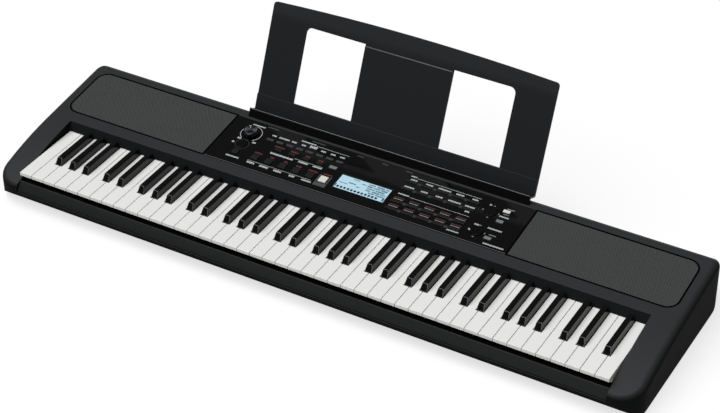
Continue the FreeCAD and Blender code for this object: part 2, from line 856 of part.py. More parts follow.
bay_low = "(bay_x - bay_length / 2)"
bay_high = "(bay_x + bay_length / 2)"
cover_low = f"({bay_low} - cover_margin)"
cover_high = f"({bay_high} + cover_margin)"
cover_near = "(bay_near - cover_margin)"
ledge_top = "(cover_sheet - case_bottom)"
tongue_top = f"({ledge_top} + tongue_sheet)"
bay_top = "(bay_height - case_bottom)"
rear_inside = "(case_rear - deck)"
socket_names = ["phone", "pedal", "aux", "usb"]
socket_spots = [f"(socket_x + socket_pitch * {i})" for i in range(len(socket_names) + 1)]
power_spot = socket_spots[-1]
usb_spot = socket_spots[-2]


def battery_bay():
    grip = "(tongue_reach + cover_gap + bay_wall)"
    return box("bay_block", (f"{cover_low} - {grip}", f"{cover_near} - bay_wall", f"{floor_top} - deck / 2"),
               (f"{cover_high} + {grip}", f"{rear_inside} + deck / 2", f"{bay_top} + bay_wall"))


def battery_cuts():
    # room for the cells, and the stepped slot that the cover slides in from the rear
    reach = "(tongue_reach + cover_gap)"
    cells = box("cell_room", (bay_low, "bay_near", "-case_bottom"), (bay_high, "bay_near + bay_width", bay_top))
    slot = box("cover_slot", (f"{cover_low} - cover_gap", f"{cover_near} - cover_gap", "-case_bottom"),
               (f"{cover_high} + cover_gap", far, ledge_top))
    groove = box("tongue_slot", (f"{cover_low} - {reach}", f"{cover_near} - cover_gap", ledge_top),
                 (f"{cover_high} + {reach}", far, f"{tongue_top} + cover_gap"))
    return [cells, slot, groove]


def battery_cover():
    rear = "case_rear - cover_gap"
    sheet_part = box("cover_plate", (cover_low, cover_near, "-case_bottom"),
                     (cover_high, rear, ledge_top))
    tongue = box("cover_tongue", (f"{cover_low} - tongue_reach", cover_near, ledge_top),
                 (f"{cover_high} + tongue_reach", rear, tongue_top))
    return fuse("cover", [sheet_part, tongue])


def battery_terminals():
    plates = []
    middle = f"({tongue_top} + {bay_top}) / 2"
    for near in ("bay_near + bay_width / 4", "bay_near + bay_width * 3 / 4"):
        for low, high in ((bay_low, f"{bay_low} + terminal_sheet"), (f"{bay_high} - terminal_sheet", bay_high)):
            plates.append(box("terminal", (low, f"{near} - terminal_side / 2", f"{middle} - terminal_side / 2"),
                              (high, f"{near} + terminal_side / 2", f"{middle} + terminal_side / 2")))
    return group("terminals", plates)


def main_posts():
    posts = []
    root = f"{floor_top} - deck / 2"
    for x in ("-(main_half - main_post_inset)", "(main_half - main_post_inset)"):
        for y in ("(main_near + main_post_inset)", "(main_near + main_width - main_post_inset)"):
            posts.append(rod("board_post", "main_post_radius", "main_lift + deck / 2", x, y, root))
    return posts


def socket_holes():
    holes = [rod("socket_hole", "barrel_radius + barrel_gap", "deck * 2", x, "case_rear + deck / 2",
                 "-socket_drop", "90") for x in socket_spots if x != usb_spot]
    wide = "(usb_width / 2 + barrel_gap)"
    high = "(usb_height / 2 + barrel_gap)"
    holes.append(box("usb_hole", (f"{usb_spot} - {wide}", "case_rear - deck * 2", f"-socket_drop - {high}"),
                     (f"{usb_spot} + {wide}", "case_rear + deck", f"-socket_drop + {high}")))
    return holes


slip_half = "(well_half - slip_gap)"
rail = box("slip_seat", (f"-{slip_half}", "deck / 2 - case_front", "-undercut_top"),
           (slip_half, "slip_back", "-parting"))
tray = common("tray", cut("lower_shell", outer, [inner]), below)
tray = fuse("tray_fitted", [tray, rail, battery_bay()] + lower_bosses() + main_posts())
finish("lower_case", cut("lower", tray, battery_cuts() + lower_boss_holes() + socket_holes()))
finish("battery_cover", battery_cover())
finish("battery_terminals", battery_terminals())
finish("case_screws", case_screws())
feet = [rod("foot", "foot_radius", "foot_height", x, y, "-case_bottom - foot_height")
        for x in ("-foot_out", "0", "foot_out") for y in ("foot_near", "foot_far")]
finish("rubber_feet", group("feet", feet))


# Key slip: the front rail between the cheeks

def key_slip():
    body = new_body("slip")
    outline = body_sketch(body, "YZ_Plane", "slip_outline")
    draw_polygon(outline, [("slip_back", "-parting"), ("-slip_lean - slip_rail / 4", "-parting"),
                           ("-slip_lean", "-parting + slip_rail"), ("0", "-slip_top"),
                           ("slip_back", "-slip_top")])
    bar_pad = pad(body, "slip_bar", outline, f"2 * {slip_half}", "Symmetric")
    nose = number("-slip_top") - same
    middle = number("slip_back / 2")
    top_front = lambda edge: edge.XLength > same and edge.ZMin > nose and edge.YMax < middle
    round_edges(body, "slip_nose", bar_pad, "slip_edge / 2", top_front)
    return body


finish("key_slip", key_slip())


# Upper case: cheeks, deck, fall and back, with the recesses for the panel, grilles and music rest

board_top_w = "(board_thickness - panel_board_drop)"
ends = {"left": -1, "right": 1}


def grille_plate(name, side, seam, gap, low, high):
    # grille outline with round outer corners, off the panel by a seam and grown by a gap elsewhere
    body = new_body(name)
    outline = body_sketch(body, "XY_Plane", "grille_outline", low)
    inside = f"{side} * (panel_half + {seam})"
    outside = f"{side} * (grille_end + {gap})"
    near = f"panel_near - {gap}"
    away = f"panel_far + {gap}"
    points = [(inside, near), (outside, near), (outside, away), (inside, away)]
    draw_polygon(outline, points if side > 0 else points[::-1])
    slab = pad(body, "grille_slab", outline, f"({high}) - ({low})")
    reach = number("(panel_half + grille_end) / 2")
    upright = lambda edge: edge.XLength < same and edge.YLength < same
    outer_corner = lambda edge: upright(edge) and max(abs(edge.XMin), abs(edge.XMax)) > reach
    round_edges(body, "grille_corners", slab, f"grille_corner + {gap}", outer_corner)
    return body


def upper_case():
    keep = box("well_walls", ("-(well_half + case_wall)", f"-{far}", "-parting"),
               ("well_half + case_wall", "fall_back + fall_run + fall_wall", far))
    hollow = cut("upper_hollow", inner, [keep])
    shell = common("upper_shell", cut("upper_walls", outer, [hollow]), above)
    posts = [rod("panel_post", "post_radius", f"-deck / 2 - {board_top_w}",
                 f"{side} * (panel_half - post_inset)", up, board_top_w)
             for side in (-1, 1) for up in ("post_near", "post_far")]
    pockets = [box("rest_pocket", (f"tab_out * {side} - tab_half - pocket_wall", "-pocket_wall",
                                   "-tab_depth - pocket_wall"),
                   (f"tab_out * {side} + tab_half + pocket_wall", "rest_sheet + pocket_wall", "-pocket_top"))
               for side in (-1, 1)]
    shell = fuse("upper_fitted", [shell, on_panel(group("posts", posts)), on_rest(group("pockets", pockets))]
                 + upper_bosses())
    well = box("key_well", ("-well_half", f"-{far}", f"-{far}"), ("well_half", "fall_near", far))
    under_fall = box("under_fall", ("-well_half", "0", f"-{far}"),
                     ("well_half", "fall_back + fall_run + fall_wall * 2", "fall_lift"))
    ahead = box("ahead_of_fall", ("-well_half", "-fall_height * 2", "0"),
                ("well_half", "0", "fall_height * 2"))
    fall_face = place(group("fall_face", [ahead]), "0", "fall_near", "fall_lift", "fall_lean", (-1, 0, 0))
    half = "(panel_half + panel_gap / 2)"
    recess = box("panel_recess", (f"-{half}", "panel_near - panel_groove", "-panel_sheet"),
                 (half, "panel_far + panel_gap", far))
    opening_half = "(panel_half - panel_ledge)"
    opening = box("panel_opening", (f"-{opening_half}", "panel_near + panel_ledge / 2", "-deck * 2"),
                  (opening_half, "panel_far - panel_ledge / 2", far))
    ports = [rod("sound_port", "cone_radius", "deck * 3", f"{side} * speaker_out", "speaker_up", "-deck * 2")
             for side in (-1, 1)]
    beds = [grille_plate(f"{name}_grille_bed", side, "panel_gap / 2", "grille_gap", "-grille_sheet", "deck")
            for name, side in ends.items()]
    slots = [box("rest_slot", (f"tab_out * {side} - tab_half - tab_gap", "-tab_gap", "-tab_depth"),
                 (f"tab_out * {side} + tab_half + tab_gap", "rest_sheet + tab_gap", "rest_height"))
             for side in (-1, 1)]
    tools = [well, under_fall, fall_face, on_panel(group("deck_cuts", [recess, opening] + ports + beds)),
             on_rest(group("rest_slots", slots))]
    return cut("upper", shell, tools + pilot_holes())


finish("upper_case", upper_case())
for name, side in ends.items():
    plate = grille_plate(f"{name}_grille", side, "grille_gap", "0", "-grille_sheet", "0")
    finish(f"{name}_speaker_grille", plate, "panel")


# Speakers under the grilles

def speaker(name, side):
    body = new_body(name)
    outline = body_sketch(body, "XZ_Plane", "speaker_outline")
    draw_polygon(outline, [("0", "-deck - cone_depth"), ("dust_cap", "-deck - cone_depth"),
                           ("cone_radius", "-deck"), ("speaker_radius", "-deck"),
                           ("speaker_radius", "-deck - speaker_flange"),
                           ("magnet_radius", "-deck - basket_depth"), ("magnet_radius", "-deck - magnet_depth"),
                           ("0", "-deck - magnet_depth")])
    turn = body.newObject("PartDesign::Revolution", "speaker_turned")
    turn.Profile = outline
    turn.ReferenceAxis = (outline, ["V_Axis"])
    turn.Angle = 360
    return place(body, f"{side} * speaker_out", "speaker_up")


for name, side in ends.items():
    finish(f"{name}_speaker", group(f"{name}_speaker_unit", [speaker(f"{name}_speaker_form", side)]), "panel")


# Buttons: each is a cap in its hole in the panel, a flange under the panel and a stem over its switch

def button_row(x, pitch, count, up, rows=1, rise="0"):
    return [(f"({x} + {pitch} * {i})", f"({up} + {rise} * {j})") for j in range(rows) for i in range(count)]


button_sets = {
    "power_button": ([("knob_x", "power_up")], "power_radius", None),
    "demo_button": ([("knob_x", "demo_up")], "demo_side", "demo_side"),
    "style_buttons": (button_row("memory_x", "style_pitch", 8, "style_up"), "style_length", "style_width"),
    "song_buttons": (button_row("song_x", "memory_pitch", 4, "song_up"), "memory_length", "song_width"),
    "memory_buttons": (button_row("memory_x", "memory_pitch", 5, "memory_up"), "memory_length", "memory_width"),
    "start_stop_button": ([("start_x", "memory_up")], "start_length", "start_width"),
    "tap_button": ([("start_x", "tap_up")], "start_length", "tap_width"),
    "voice_buttons": (button_row("voice_x", "voice_pitch", 5, "voice_up", 2, "number_rise"),
                      "voice_length", "voice_width"),
    "number_buttons": (button_row("voice_x", "voice_pitch", 5, "number_up", 2, "number_rise"),
                       "voice_length", "voice_width"),
    "upper_cursor_button": ([("cursor_x", "cursor_far")], "cursor_radius", None),
    "lower_cursor_button": ([("cursor_x", "cursor_near")], "cursor_radius", None),
    "side_buttons": ([("side_x", "side_near"), ("side_x", "side_middle"), ("side_x", "side_far")],
                     "side_length", "side_width"),
}


def slab_at(name, spot, length, width, grow, low, high):
    # a block, or a disc where no width is given, centred on a spot of the panel
    x, up = spot
    if width is None:
        return rod(name, f"{length} + {grow}", f"({high}) - ({low})", x, up, low)
    return box(name, (f"{x} - {length} / 2 - {grow}", f"{up} - {width} / 2 - {grow}", low),
               (f"{x} + {length} / 2 + {grow}", f"{up} + {width} / 2 + {grow}", high))


def button(spot, length, width):
    flange_top = "(-panel_sheet - flange_gap)"
    flange_low = f"({flange_top} - flange_sheet)"
    cap = slab_at("cap", spot, length, width, "0", flange_top, "button_proud")
    flange = slab_at("flange", spot, length, width, "flange_reach", flange_low, flange_top)
    stem = slab_at("stem", spot, "stem_side", "stem_side", "0", "-stem_end", flange_low)
    return fuse("button", [cap, flange, stem])


for label, (spots, length, width) in button_sets.items():
    finish(label, group(label, [button(spot, length, width) for spot in spots]), "panel")


# Volume knob on its shaft

def volume_knob():
    body = new_body("knob")
    outline = body_sketch(body, "XZ_Plane", "knob_outline")
    crown = "knob_lift + knob_height"
    draw_polygon(outline, [("0", "-shaft_end"), ("shaft_radius", "-shaft_end"), ("shaft_radius", "knob_lift"),
                           ("knob_radius", "knob_lift"), ("knob_radius", f"{crown} - knob_edge"),
                           ("knob_radius - knob_edge", crown), ("0", crown)])
    turn = body.newObject("PartDesign::Revolution", "knob_turned")
    turn.Profile = outline
    turn.ReferenceAxis = (outline, ["V_Axis"])
    turn.Angle = 360
    mark = body_sketch(body, "XY_Plane", "mark_outline", crown)
    half = "knob_mark / 2"
    draw_polygon(mark, [(f"-{half}", "knob_radius / 3"), (half, "knob_radius / 3"),
                        (half, "knob_radius * 2"), (f"-{half}", "knob_radius * 2")])
    pocket(body, "mark", mark, "knob_mark / 2")
    return place(body, "knob_x", "knob_up", "0", "knob_turn", (0, 0, 1))


finish("volume_knob", group("volume_knob_unit", [volume_knob()]), "panel")


# Control panel sheet with its holes, the display and the board behind it

def control_panel():
    sheet_block = box("panel_sheet_block", ("-(panel_half - panel_gap / 2)", "panel_near", "-panel_sheet"),
                      ("panel_half - panel_gap / 2", "panel_far", "0"))
    holes = [slab_at("button_hole", spot, length, width, "button_gap", "-panel_sheet * 2", "panel_sheet")
             for spots, length, width in button_sets.values() for spot in spots]
    holes.append(rod("shaft_hole", "shaft_hole", "panel_sheet * 3", "knob_x", "knob_up", "-panel_sheet * 2"))
    holes.append(slab_at("display_hole", screen, "display_length", "display_width", "panel_gap",
                         "-panel_sheet * 2", "panel_sheet"))
    pierced = cut("panel", sheet_block, holes)
    near = number("panel_near") + same
    front_top = lambda edge: edge.BoundBox.YMax < near and edge.BoundBox.ZMin > -same
    return fillet("panel_front", pierced, "panel_edge", front_top)


def panel_board():
    board = box("panel_board_sheet", ("-(panel_half - panel_board_margin)", "panel_near + panel_board_margin",
                                      "-panel_board_drop"),
                ("panel_half - panel_board_margin", "panel_far - panel_board_margin", board_top_w))
    switches = [rod("switch", "switch_radius", f"-switch_top - {board_top_w}", x, up, board_top_w)
                for spots, length, width in button_sets.values() for x, up in spots]
    pot = rod("pot", "pot_radius", f"-pot_top - {board_top_w}", "knob_x", "knob_up", board_top_w)
    pot_hole = rod("pot_hole", "shaft_radius + shaft_fit", "pot_hole - pot_top", "knob_x", "knob_up",
                   "-pot_hole")
    return cut("panel_board_fitted", fuse("panel_board_parts", [board, pot] + switches), [pot_hole])


screen = ("display_x", "display_up")
finish("control_panel", control_panel(), "panel")
finish("panel_board", panel_board(), "panel")
finish("display_window", slab_at("window", screen, "display_length", "display_width", "0",
                                 "-panel_sheet", "0"), "panel")
finish("display_module", slab_at("module", screen, "display_length", "display_width", "display_frame",
                                 board_top_w, "-panel_sheet"), "panel")


# Music rest: plate with two windows, shelf with a lip, and two tabs in the pockets of the case

def step(body, name, half, low, high, depth):
    # a raised area on the front of the plate, with its upper edge rounded
    outline = body_sketch(body, "XZ_Plane", f"{name}_outline")
    draw_polygon(outline, [(f"-({half})", low), (half, low), (half, high), (f"-({half})", high)])
    raised = pad(body, name, outline, depth)
    top = number(high)
    front = -number(depth)
    upper = lambda edge: abs(edge.ZMin - top) < same and edge.ZLength < same and abs(edge.YMax - front) < same
    round_edges(body, f"{name}_edge", raised, "step_edge", upper)


def music_rest():
    body = new_body("rest")
    outline = body_sketch(body, "YZ_Plane", "rest_outline")
    skirt_inside = "rest_sheet - shelf_depth"
    draw_polygon(outline, [("-shelf_depth", "-skirt_drop"),
                           (skirt_inside, "rest_sheet * tan(rest_lean + panel_tilt) - skirt_drop"),
                           (skirt_inside, "-shelf_sheet"), ("rest_sheet", "-shelf_sheet"),
                           ("rest_sheet", "rest_height"), ("0", "rest_height"), ("0", "0"),
                           (skirt_inside, "0"), (skirt_inside, "shelf_lip"),
                           ("-shelf_depth", "shelf_lip")])
    plate_pad = pad(body, "rest_plate", outline, "rest_width", "Symmetric")
    top = number("rest_height") - same
    corner = lambda edge: edge.ZMin > top and edge.XLength < same
    round_edges(body, "rest_corners", plate_pad, "rest_corner", corner)
    crown = body_sketch(body, "XZ_Plane", "crown_outline")
    draw_bow(crown, "crown_half", "rest_height", "crown_rise")
    pad(body, "crown", crown, "rest_sheet", reverse=True)
    step(body, "lower_band", "rest_width / 2", "0", "window_low", "band_depth")
    step(body, "centre_panel", "window_in", "window_low", "centre_top", "centre_depth")
    windows = body_sketch(body, "XZ_Plane", "window_outline")
    for side in ("", "-"):
        draw_polygon(windows, [(f"{side}window_in", "window_low"), (f"{side}window_out", "window_low"),
                               (f"{side}window_out", "window_high"), (f"{side}window_in", "window_high")])
    holes = pocket(body, "windows", windows, "rest_width", "Symmetric")
    high = number("window_high")
    reach = number("window_out")
    straight = lambda edge: edge.XLength < same and edge.ZLength < same
    corner = lambda edge: straight(edge) and abs(edge.ZMin - high) < same and abs(abs(edge.XMin) - reach) < same
    round_edges(body, "window_corners", holes, "window_corner", corner)
    tabs = body_sketch(body, "XZ_Plane", "tab_outline")
    for side in ("", "-"):
        left = f"{side}tab_out - tab_half"
        right = f"{side}tab_out + tab_half"
        draw_polygon(tabs, [(left, "-tab_depth"), (right, "-tab_depth"),
                            (right, "-shelf_sheet / 2"), (left, "-shelf_sheet / 2")])
    pad(body, "tabs", tabs, "rest_sheet", reverse=True)
    return body


finish("music_rest", music_rest(), "rest")


# Sockets in the rear wall, with their boxes inside the case

def socket(name, x, hole, pin=None):
    shell = box(f"{name}_box", (f"{x} - socket_body / 2", f"{rear_inside} - socket_length",
                                "-socket_drop - socket_body / 2"),
                (f"{x} + socket_body / 2", rear_inside, "-socket_drop + socket_body / 2"))
    barrel = rod(f"{name}_barrel", "barrel_radius", "deck + deck / 2", x, "case_rear", "-socket_drop", "90")
    bore = rod(f"{name}_bore", hole, "socket_depth + deck", x, "case_rear + deck", "-socket_drop", "90")
    drilled = cut(f"{name}_socket", fuse(f"{name}_shell", [shell, barrel]), [bore])
    if pin is None:
        return drilled
    post = rod(f"{name}_pin", pin, "socket_depth + deck / 2", x, "case_rear - deck / 2", "-socket_drop", "90")
    return fuse(f"{name}_pinned", [drilled, post])


def usb_socket(x):
    wide = "usb_width / 2"
    high = "usb_height / 2"
    shell = box("usb_box", (f"{x} - {wide}", f"{rear_inside} - socket_length", f"-socket_drop - {high}"),
                (f"{x} + {wide}", "case_rear", f"-socket_drop + {high}"))
    wide = "usb_mouth_width / 2"
    high = "usb_mouth_height / 2"
    mouth = box("usb_mouth", (f"{x} - {wide}", "case_rear - socket_depth / 2", f"-socket_drop - {high}"),
                (f"{x} + {wide}", "case_rear + deck", f"-socket_drop + {high}"))
    root = f"{rear_inside} - socket_length / 2"
    tongue = box("usb_tongue", (f"{x} - {wide} / 2", root, f"-socket_drop - {high} / 3"),
                 (f"{x} + {wide} / 2", rear_inside, f"-socket_drop + {high} / 3"))
    return fuse("usb_socket", [cut("usb_shell", shell, [mouth]), tongue])


holes = {"phone": "phone_radius", "pedal": "phone_radius", "aux": "aux_radius"}
jacks = [socket(name, x, holes[name]) for name, x in zip(socket_names, socket_spots) if name in holes]
finish("rear_sockets", group("sockets", jacks + [usb_socket(usb_spot)]))
finish("power_inlet", socket("power", power_spot, "power_bore", "power_pin"))


# Main board on its posts in the lower case

def main_board():
    low = f"({floor_top} + main_lift)"
    board = box("main_board_sheet", ("-main_half", "main_near", low),
                ("main_half", "main_near + main_width", f"{low} + board_thickness"))
    top = f"({low} + board_thickness)"
    middle = "(main_near + main_width / 2)"
    chips = [box("chip", (f"{x} - chip_side / 2", f"{middle} - chip_side / 2", top),
                 (f"{x} + chip_side / 2", f"{middle} + chip_side / 2", f"{top} + chip_height"))
             for x in ("-main_half / 2", "0")]
    heat_sink = box("heat_sink", ("main_half / 2 - chip_side / 2", f"{middle} - chip_side / 2", top),
                    ("main_half / 2 + chip_side / 2", f"{middle} + chip_side / 2", f"{top} + sink_height"))
    return fuse("main_board_parts", [board, heat_sink] + chips)


finish("main_board", main_board())


# Check every object, then write one file for each piece

doc.recompute()
for thing in doc.Objects:
    faults = {"Invalid", "Error"} & set(thing.State)
    if faults:
        raise ValueError(f"{thing.Name} ({thing.Label}) is {faults}")
os.makedirs("parts", exist_ok=True)
for label, thing in nodes.items():
    shape = thing.Shape
    if shape.isNull() or not shape.isValid() or not shape.Solids:
        raise ValueError(f"{label} has no valid solid")
    shape.exportStep(f"parts/{label}.step")
    print(label, len(shape.Solids), "solids", round(shape.Volume / 1000, 1), "cm3")
print(len(nodes), "pieces")
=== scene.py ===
import math
import bpy
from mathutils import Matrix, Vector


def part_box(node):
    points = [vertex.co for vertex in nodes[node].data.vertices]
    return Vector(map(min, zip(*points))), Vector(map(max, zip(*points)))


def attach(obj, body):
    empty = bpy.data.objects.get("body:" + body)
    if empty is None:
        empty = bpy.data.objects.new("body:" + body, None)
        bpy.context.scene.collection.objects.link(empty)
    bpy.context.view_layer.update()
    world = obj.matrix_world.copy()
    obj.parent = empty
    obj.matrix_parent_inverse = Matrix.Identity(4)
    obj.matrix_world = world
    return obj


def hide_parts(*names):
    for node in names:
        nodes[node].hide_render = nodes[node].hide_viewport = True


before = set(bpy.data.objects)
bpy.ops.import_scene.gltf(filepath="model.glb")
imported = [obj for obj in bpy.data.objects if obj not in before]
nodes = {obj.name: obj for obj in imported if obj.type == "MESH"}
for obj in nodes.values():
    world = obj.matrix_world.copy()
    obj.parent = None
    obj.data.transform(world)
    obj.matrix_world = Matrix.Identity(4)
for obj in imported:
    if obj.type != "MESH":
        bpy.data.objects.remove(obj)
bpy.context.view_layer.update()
mm = 0.001

# the tilted deck: marks are drawn flat in millimetres, x across and v up the deck, then turned into place
deck = {"origin": (0.0, -46.091, 79.7), "tilt": 6.6}
# the leaning plate of the music rest, from the foot of its front face
restLean = {"origin": (0.0, 119.809, 101.3), "lean": 23.0}
tilt = math.radians(deck["tilt"])
lean = math.radians(restLean["lean"])


def linear(code):
    # sRGB hex to the linear values that shaders take
    out = []
    for i in (1, 3, 5):
        c = int(code[i:i + 2], 16) / 255
        out.append(c / 12.92 if c <= 0.04045 else ((c + 0.055) / 1.055) ** 2.4)
    return (*out, 1.0)


def addNode(tree, kind, settings=None, links=None):
    # one node with its settings, input values and links
    node = tree.nodes.new(kind)
    for key, value in (settings or {}).items():
        if isinstance(key, str) and hasattr(node, key):
            setattr(node, key, value)
        else:
            node.inputs[key].default_value = value
    for key, source in (links or {}).items():
        tree.links.new(source, node.inputs[key])
    return node


def newFinish(name, color, roughness=0.5, specular=0.5, metallic=0.0):
    material = bpy.data.materials.new(name)
    material.use_nodes = True
    tree = material.node_tree
    shader = tree.nodes["Principled BSDF"]
    shader.inputs["Base Color"].default_value = linear(color)
    shader.inputs["Roughness"].default_value = roughness
    shader.inputs["Specular IOR Level"].default_value = specular
    shader.inputs["Metallic"].default_value = metallic
    return material, tree, shader


# shared by all moulded grains: the noise's detail and roughness, full height in millimetres, edge samples
grainLook = {"detail": 3.0, "rough": 0.6, "height": 0.2, "samples": 6}


def mouldedGrain(tree, shader, size, depth, edge):
    # a tool's grain: bumps of size millimetres, and moulded edges that run round over edge millimetres
    place = addNode(tree, "ShaderNodeTexCoord")
    noise = addNode(tree, "ShaderNodeTexNoise",
                    {"Scale": 1000 / size, "Detail": grainLook["detail"], "Roughness": grainLook["rough"]},
                    {"Vector": place.outputs["Object"]})
    edges = addNode(tree, "ShaderNodeBevel", {"samples": grainLook["samples"], "Radius": edge * mm})
    bump = addNode(tree, "ShaderNodeBump", {"Strength": depth, "Distance": grainLook["height"] * mm},
                   {"Height": noise.outputs["Fac"], "Normal": edges.outputs["Normal"]})
    tree.links.new(bump.outputs["Normal"], shader.inputs["Normal"])
    return place, noise


def paint(material, *names):
    for name in names:
        mesh = nodes[name].data
        mesh.materials.clear()
        mesh.materials.append(material)


# case: ABS from a sparked tool. The top has a fine spark and the walls a coarse one that stays matt; faces
# that look up are painted paler as painted sheen, walls darker as painted shade, and the fall behind the keys
# is polished.
# leans is how far up a face has to look to count as wall or as top; the grain is size, depth and rounding
caseLook = {"top": "#2e2f30", "wall": "#0a0b0c", "fall": "#18191a", "roughness": (0.38, 0.46),
            "polished": 0.25, "coarse": 0.9, "satin": 0.12, "grain": (1.1, 0.15, 1.2),
            "noiseSpan": (0.3, 0.7), "leans": (0.42, 0.97),
            "fallFoot": (-47.691, 65.5), "fallLean": 27.0, "fallDepth": 0.3, "fallMatch": 0.98}
caseAbs, tree, shader = newFinish("sparkedAbs", caseLook["top"], specular=caseLook["satin"])
place, noise = mouldedGrain(tree, shader, *caseLook["grain"])
# the fall is found by its plane: points within its depth that also face its way
leanBack = math.radians(caseLook["fallLean"])
fallFacing = (0, -math.cos(leanBack), math.sin(leanBack))
fallAhead = (caseLook["fallFoot"][0] * fallFacing[1] + caseLook["fallFoot"][1] * fallFacing[2]) * mm
ahead = addNode(tree, "ShaderNodeVectorMath", {"operation": "DOT_PRODUCT", 1: fallFacing},
                {0: place.outputs["Object"]})
fallOff = addNode(tree, "ShaderNodeMath", {"operation": "SUBTRACT", 1: fallAhead},
                  {0: ahead.outputs["Value"]})
fallOff = addNode(tree, "ShaderNodeMath", {"operation": "ABSOLUTE"}, {0: fallOff.outputs[0]})
inPlane = addNode(tree, "ShaderNodeMath", {"operation": "LESS_THAN", 1: caseLook["fallDepth"] * mm},
                  {0: fallOff.outputs[0]})
toward = addNode(tree, "ShaderNodeVectorMath", {"operation": "DOT_PRODUCT", 1: fallFacing},
                 {0: place.outputs["Normal"]})
alike = addNode(tree, "ShaderNodeMath", {"operation": "GREATER_THAN", 1: caseLook["fallMatch"]},
                {0: toward.outputs["Value"]})
onFall = addNode(tree, "ShaderNodeMath", {"operation": "MULTIPLY"},
                 {0: inPlane.outputs[0], 1: alike.outputs[0]})
rough = addNode(tree, "ShaderNodeMapRange",
                {"From Min": caseLook["noiseSpan"][0], "From Max": caseLook["noiseSpan"][1],
                 "To Min": caseLook["roughness"][0], "To Max": caseLook["roughness"][1]},
                {"Value": noise.outputs["Fac"]})
facing = addNode(tree, "ShaderNodeSeparateXYZ", {}, {0: place.outputs["Normal"]})
onTop = addNode(tree, "ShaderNodeMapRange",
                {"From Min": caseLook["leans"][0], "From Max": caseLook["leans"][1]},
                {"Value": facing.outputs["Z"]})
spark = addNode(tree, "ShaderNodeMix", {"data_type": "FLOAT", "A": caseLook["coarse"]},
                {"Factor": onTop.outputs["Result"], "B": rough.outputs["Result"]})
gloss = addNode(tree, "ShaderNodeMix", {"data_type": "FLOAT", "B": caseLook["polished"]},
                {"Factor": onFall.outputs[0], "A": spark.outputs["Result"]})
# painted light: the colour runs from the painted shade of the walls to the painted sheen of the tops
tone = addNode(tree, "ShaderNodeMix",
               {"data_type": "RGBA", 6: linear(caseLook["wall"]), 7: linear(caseLook["top"])},
               {"Factor": onTop.outputs["Result"]})
tone = addNode(tree, "ShaderNodeMix", {"data_type": "RGBA", 7: linear(caseLook["fall"])},
               {"Factor": onFall.outputs[0], 6: tone.outputs[2]})
tree.links.new(gloss.outputs["Result"], shader.inputs["Roughness"])
tree.links.new(tone.outputs[2], shader.inputs["Base Color"])
paint(caseAbs, "upper_case", "lower_case", "key_slip", "battery_cover")
print("case painted")

# music rest: ABS with a finer spark, its bent top band painted a little paler as painted sheen, and painted
# shade
# below the shelf: near black, with a polished roughness.
# bandFrom, bandTo and skirtTop are heights up the leaning plate
restLook = {"color": "#1c1d1f", "band": "#252628", "bandFrom": 160.0, "bandTo": 172.0,
            "skirt": "#060607", "skirtTop": 0.8, "satin": 0.15, "sparked": 0.5, "polished": 0.2,
            "grain": (0.9, 0.12, 0.8)}
restAbs, tree, shader = newFinish("fineSparkedAbs", restLook["color"], restLook["sparked"], restLook["satin"])
place = mouldedGrain(tree, shader, *restLook["grain"])[0]
restFoot = (restLean["origin"][1] * math.sin(lean) + restLean["origin"][2] * math.cos(lean)) * mm
height = addNode(tree, "ShaderNodeVectorMath",
                 {"operation": "DOT_PRODUCT", 1: (0, math.sin(lean), math.cos(lean))},
                 {0: place.outputs["Object"]})
onBand = addNode(tree, "ShaderNodeMapRange", {"From Min": restFoot + restLook["bandFrom"] * mm,
                                              "From Max": restFoot + restLook["bandTo"] * mm},
                 {"Value": height.outputs["Value"]})
# painted sheen: the bent top band is paler
tone = addNode(tree, "ShaderNodeMix",
               {"data_type": "RGBA", 6: linear(restLook["color"]), 7: linear(restLook["band"])},
               {"Factor": onBand.outputs["Result"]})
# painted shade: near black below the shelf
below = addNode(tree, "ShaderNodeMath",
                {"operation": "LESS_THAN", 1: restFoot + restLook["skirtTop"] * mm},
                {0: height.outputs["Value"]})
tone = addNode(tree, "ShaderNodeMix", {"data_type": "RGBA", 7: linear(restLook["skirt"])},
               {"Factor": below.outputs[0], 6: tone.outputs[2]})
gloss = addNode(tree, "ShaderNodeMapRange", {"To Min": restLook["sparked"], "To Max": restLook["polished"]},
                {"Value": below.outputs[0]})
tree.links.new(tone.outputs[2], shader.inputs["Base Color"])
tree.links.new(gloss.outputs["Result"], shader.inputs["Roughness"])
paint(restAbs, "music_rest")
print("rest painted")

# white keys: ABS polished in the tool, so they shine softly, with a faint swirl
whiteLook = {"color": "#e6e6e4", "roughness": 0.3, "specular": 0.3, "swirl": (6.0, 0.02, 0.6)}
whiteAbs, tree, shader = newFinish("polishedIvoryAbs", whiteLook["color"], whiteLook["roughness"],
                                   whiteLook["specular"])
mouldedGrain(tree, shader, *whiteLook["swirl"])
# black keys: ABS with a close satin grain, so they mirror the whites; the edges of the sloped front ends are
# painted pale as painted highlight. bend is how far the rounded normal leaves the flat one where the
# highlight starts and is full
blackLook = {"color": "#060607", "paintedEdgeHighlight": "#a2a3a5", "roughness": 0.2, "specular": 0.35,
             "grain": (0.9, 0.05, 1.6), "edge": 1.4, "bend": (0.995, 0.92), "frontFacing": -0.5}
blackAbs, tree, shader = newFinish("satinBlackAbs", blackLook["color"], blackLook["roughness"],
                                   blackLook["specular"])
mouldedGrain(tree, shader, *blackLook["grain"])
surface = addNode(tree, "ShaderNodeNewGeometry")
eased = addNode(tree, "ShaderNodeBevel", {"samples": grainLook["samples"], "Radius": blackLook["edge"] * mm})
bent = addNode(tree, "ShaderNodeVectorMath", {"operation": "DOT_PRODUCT"},
               {0: eased.outputs["Normal"], 1: surface.outputs["True Normal"]})
edgeHighlightShare = addNode(tree, "ShaderNodeMapRange",
               {"From Min": blackLook["bend"][0], "From Max": blackLook["bend"][1]},
               {"Value": bent.outputs["Value"]})
facing = addNode(tree, "ShaderNodeSeparateXYZ", {}, {0: surface.outputs["True Normal"]})
atFront = addNode(tree, "ShaderNodeMath", {"operation": "LESS_THAN", 1: blackLook["frontFacing"]},
                  {0: facing.outputs["Y"]})
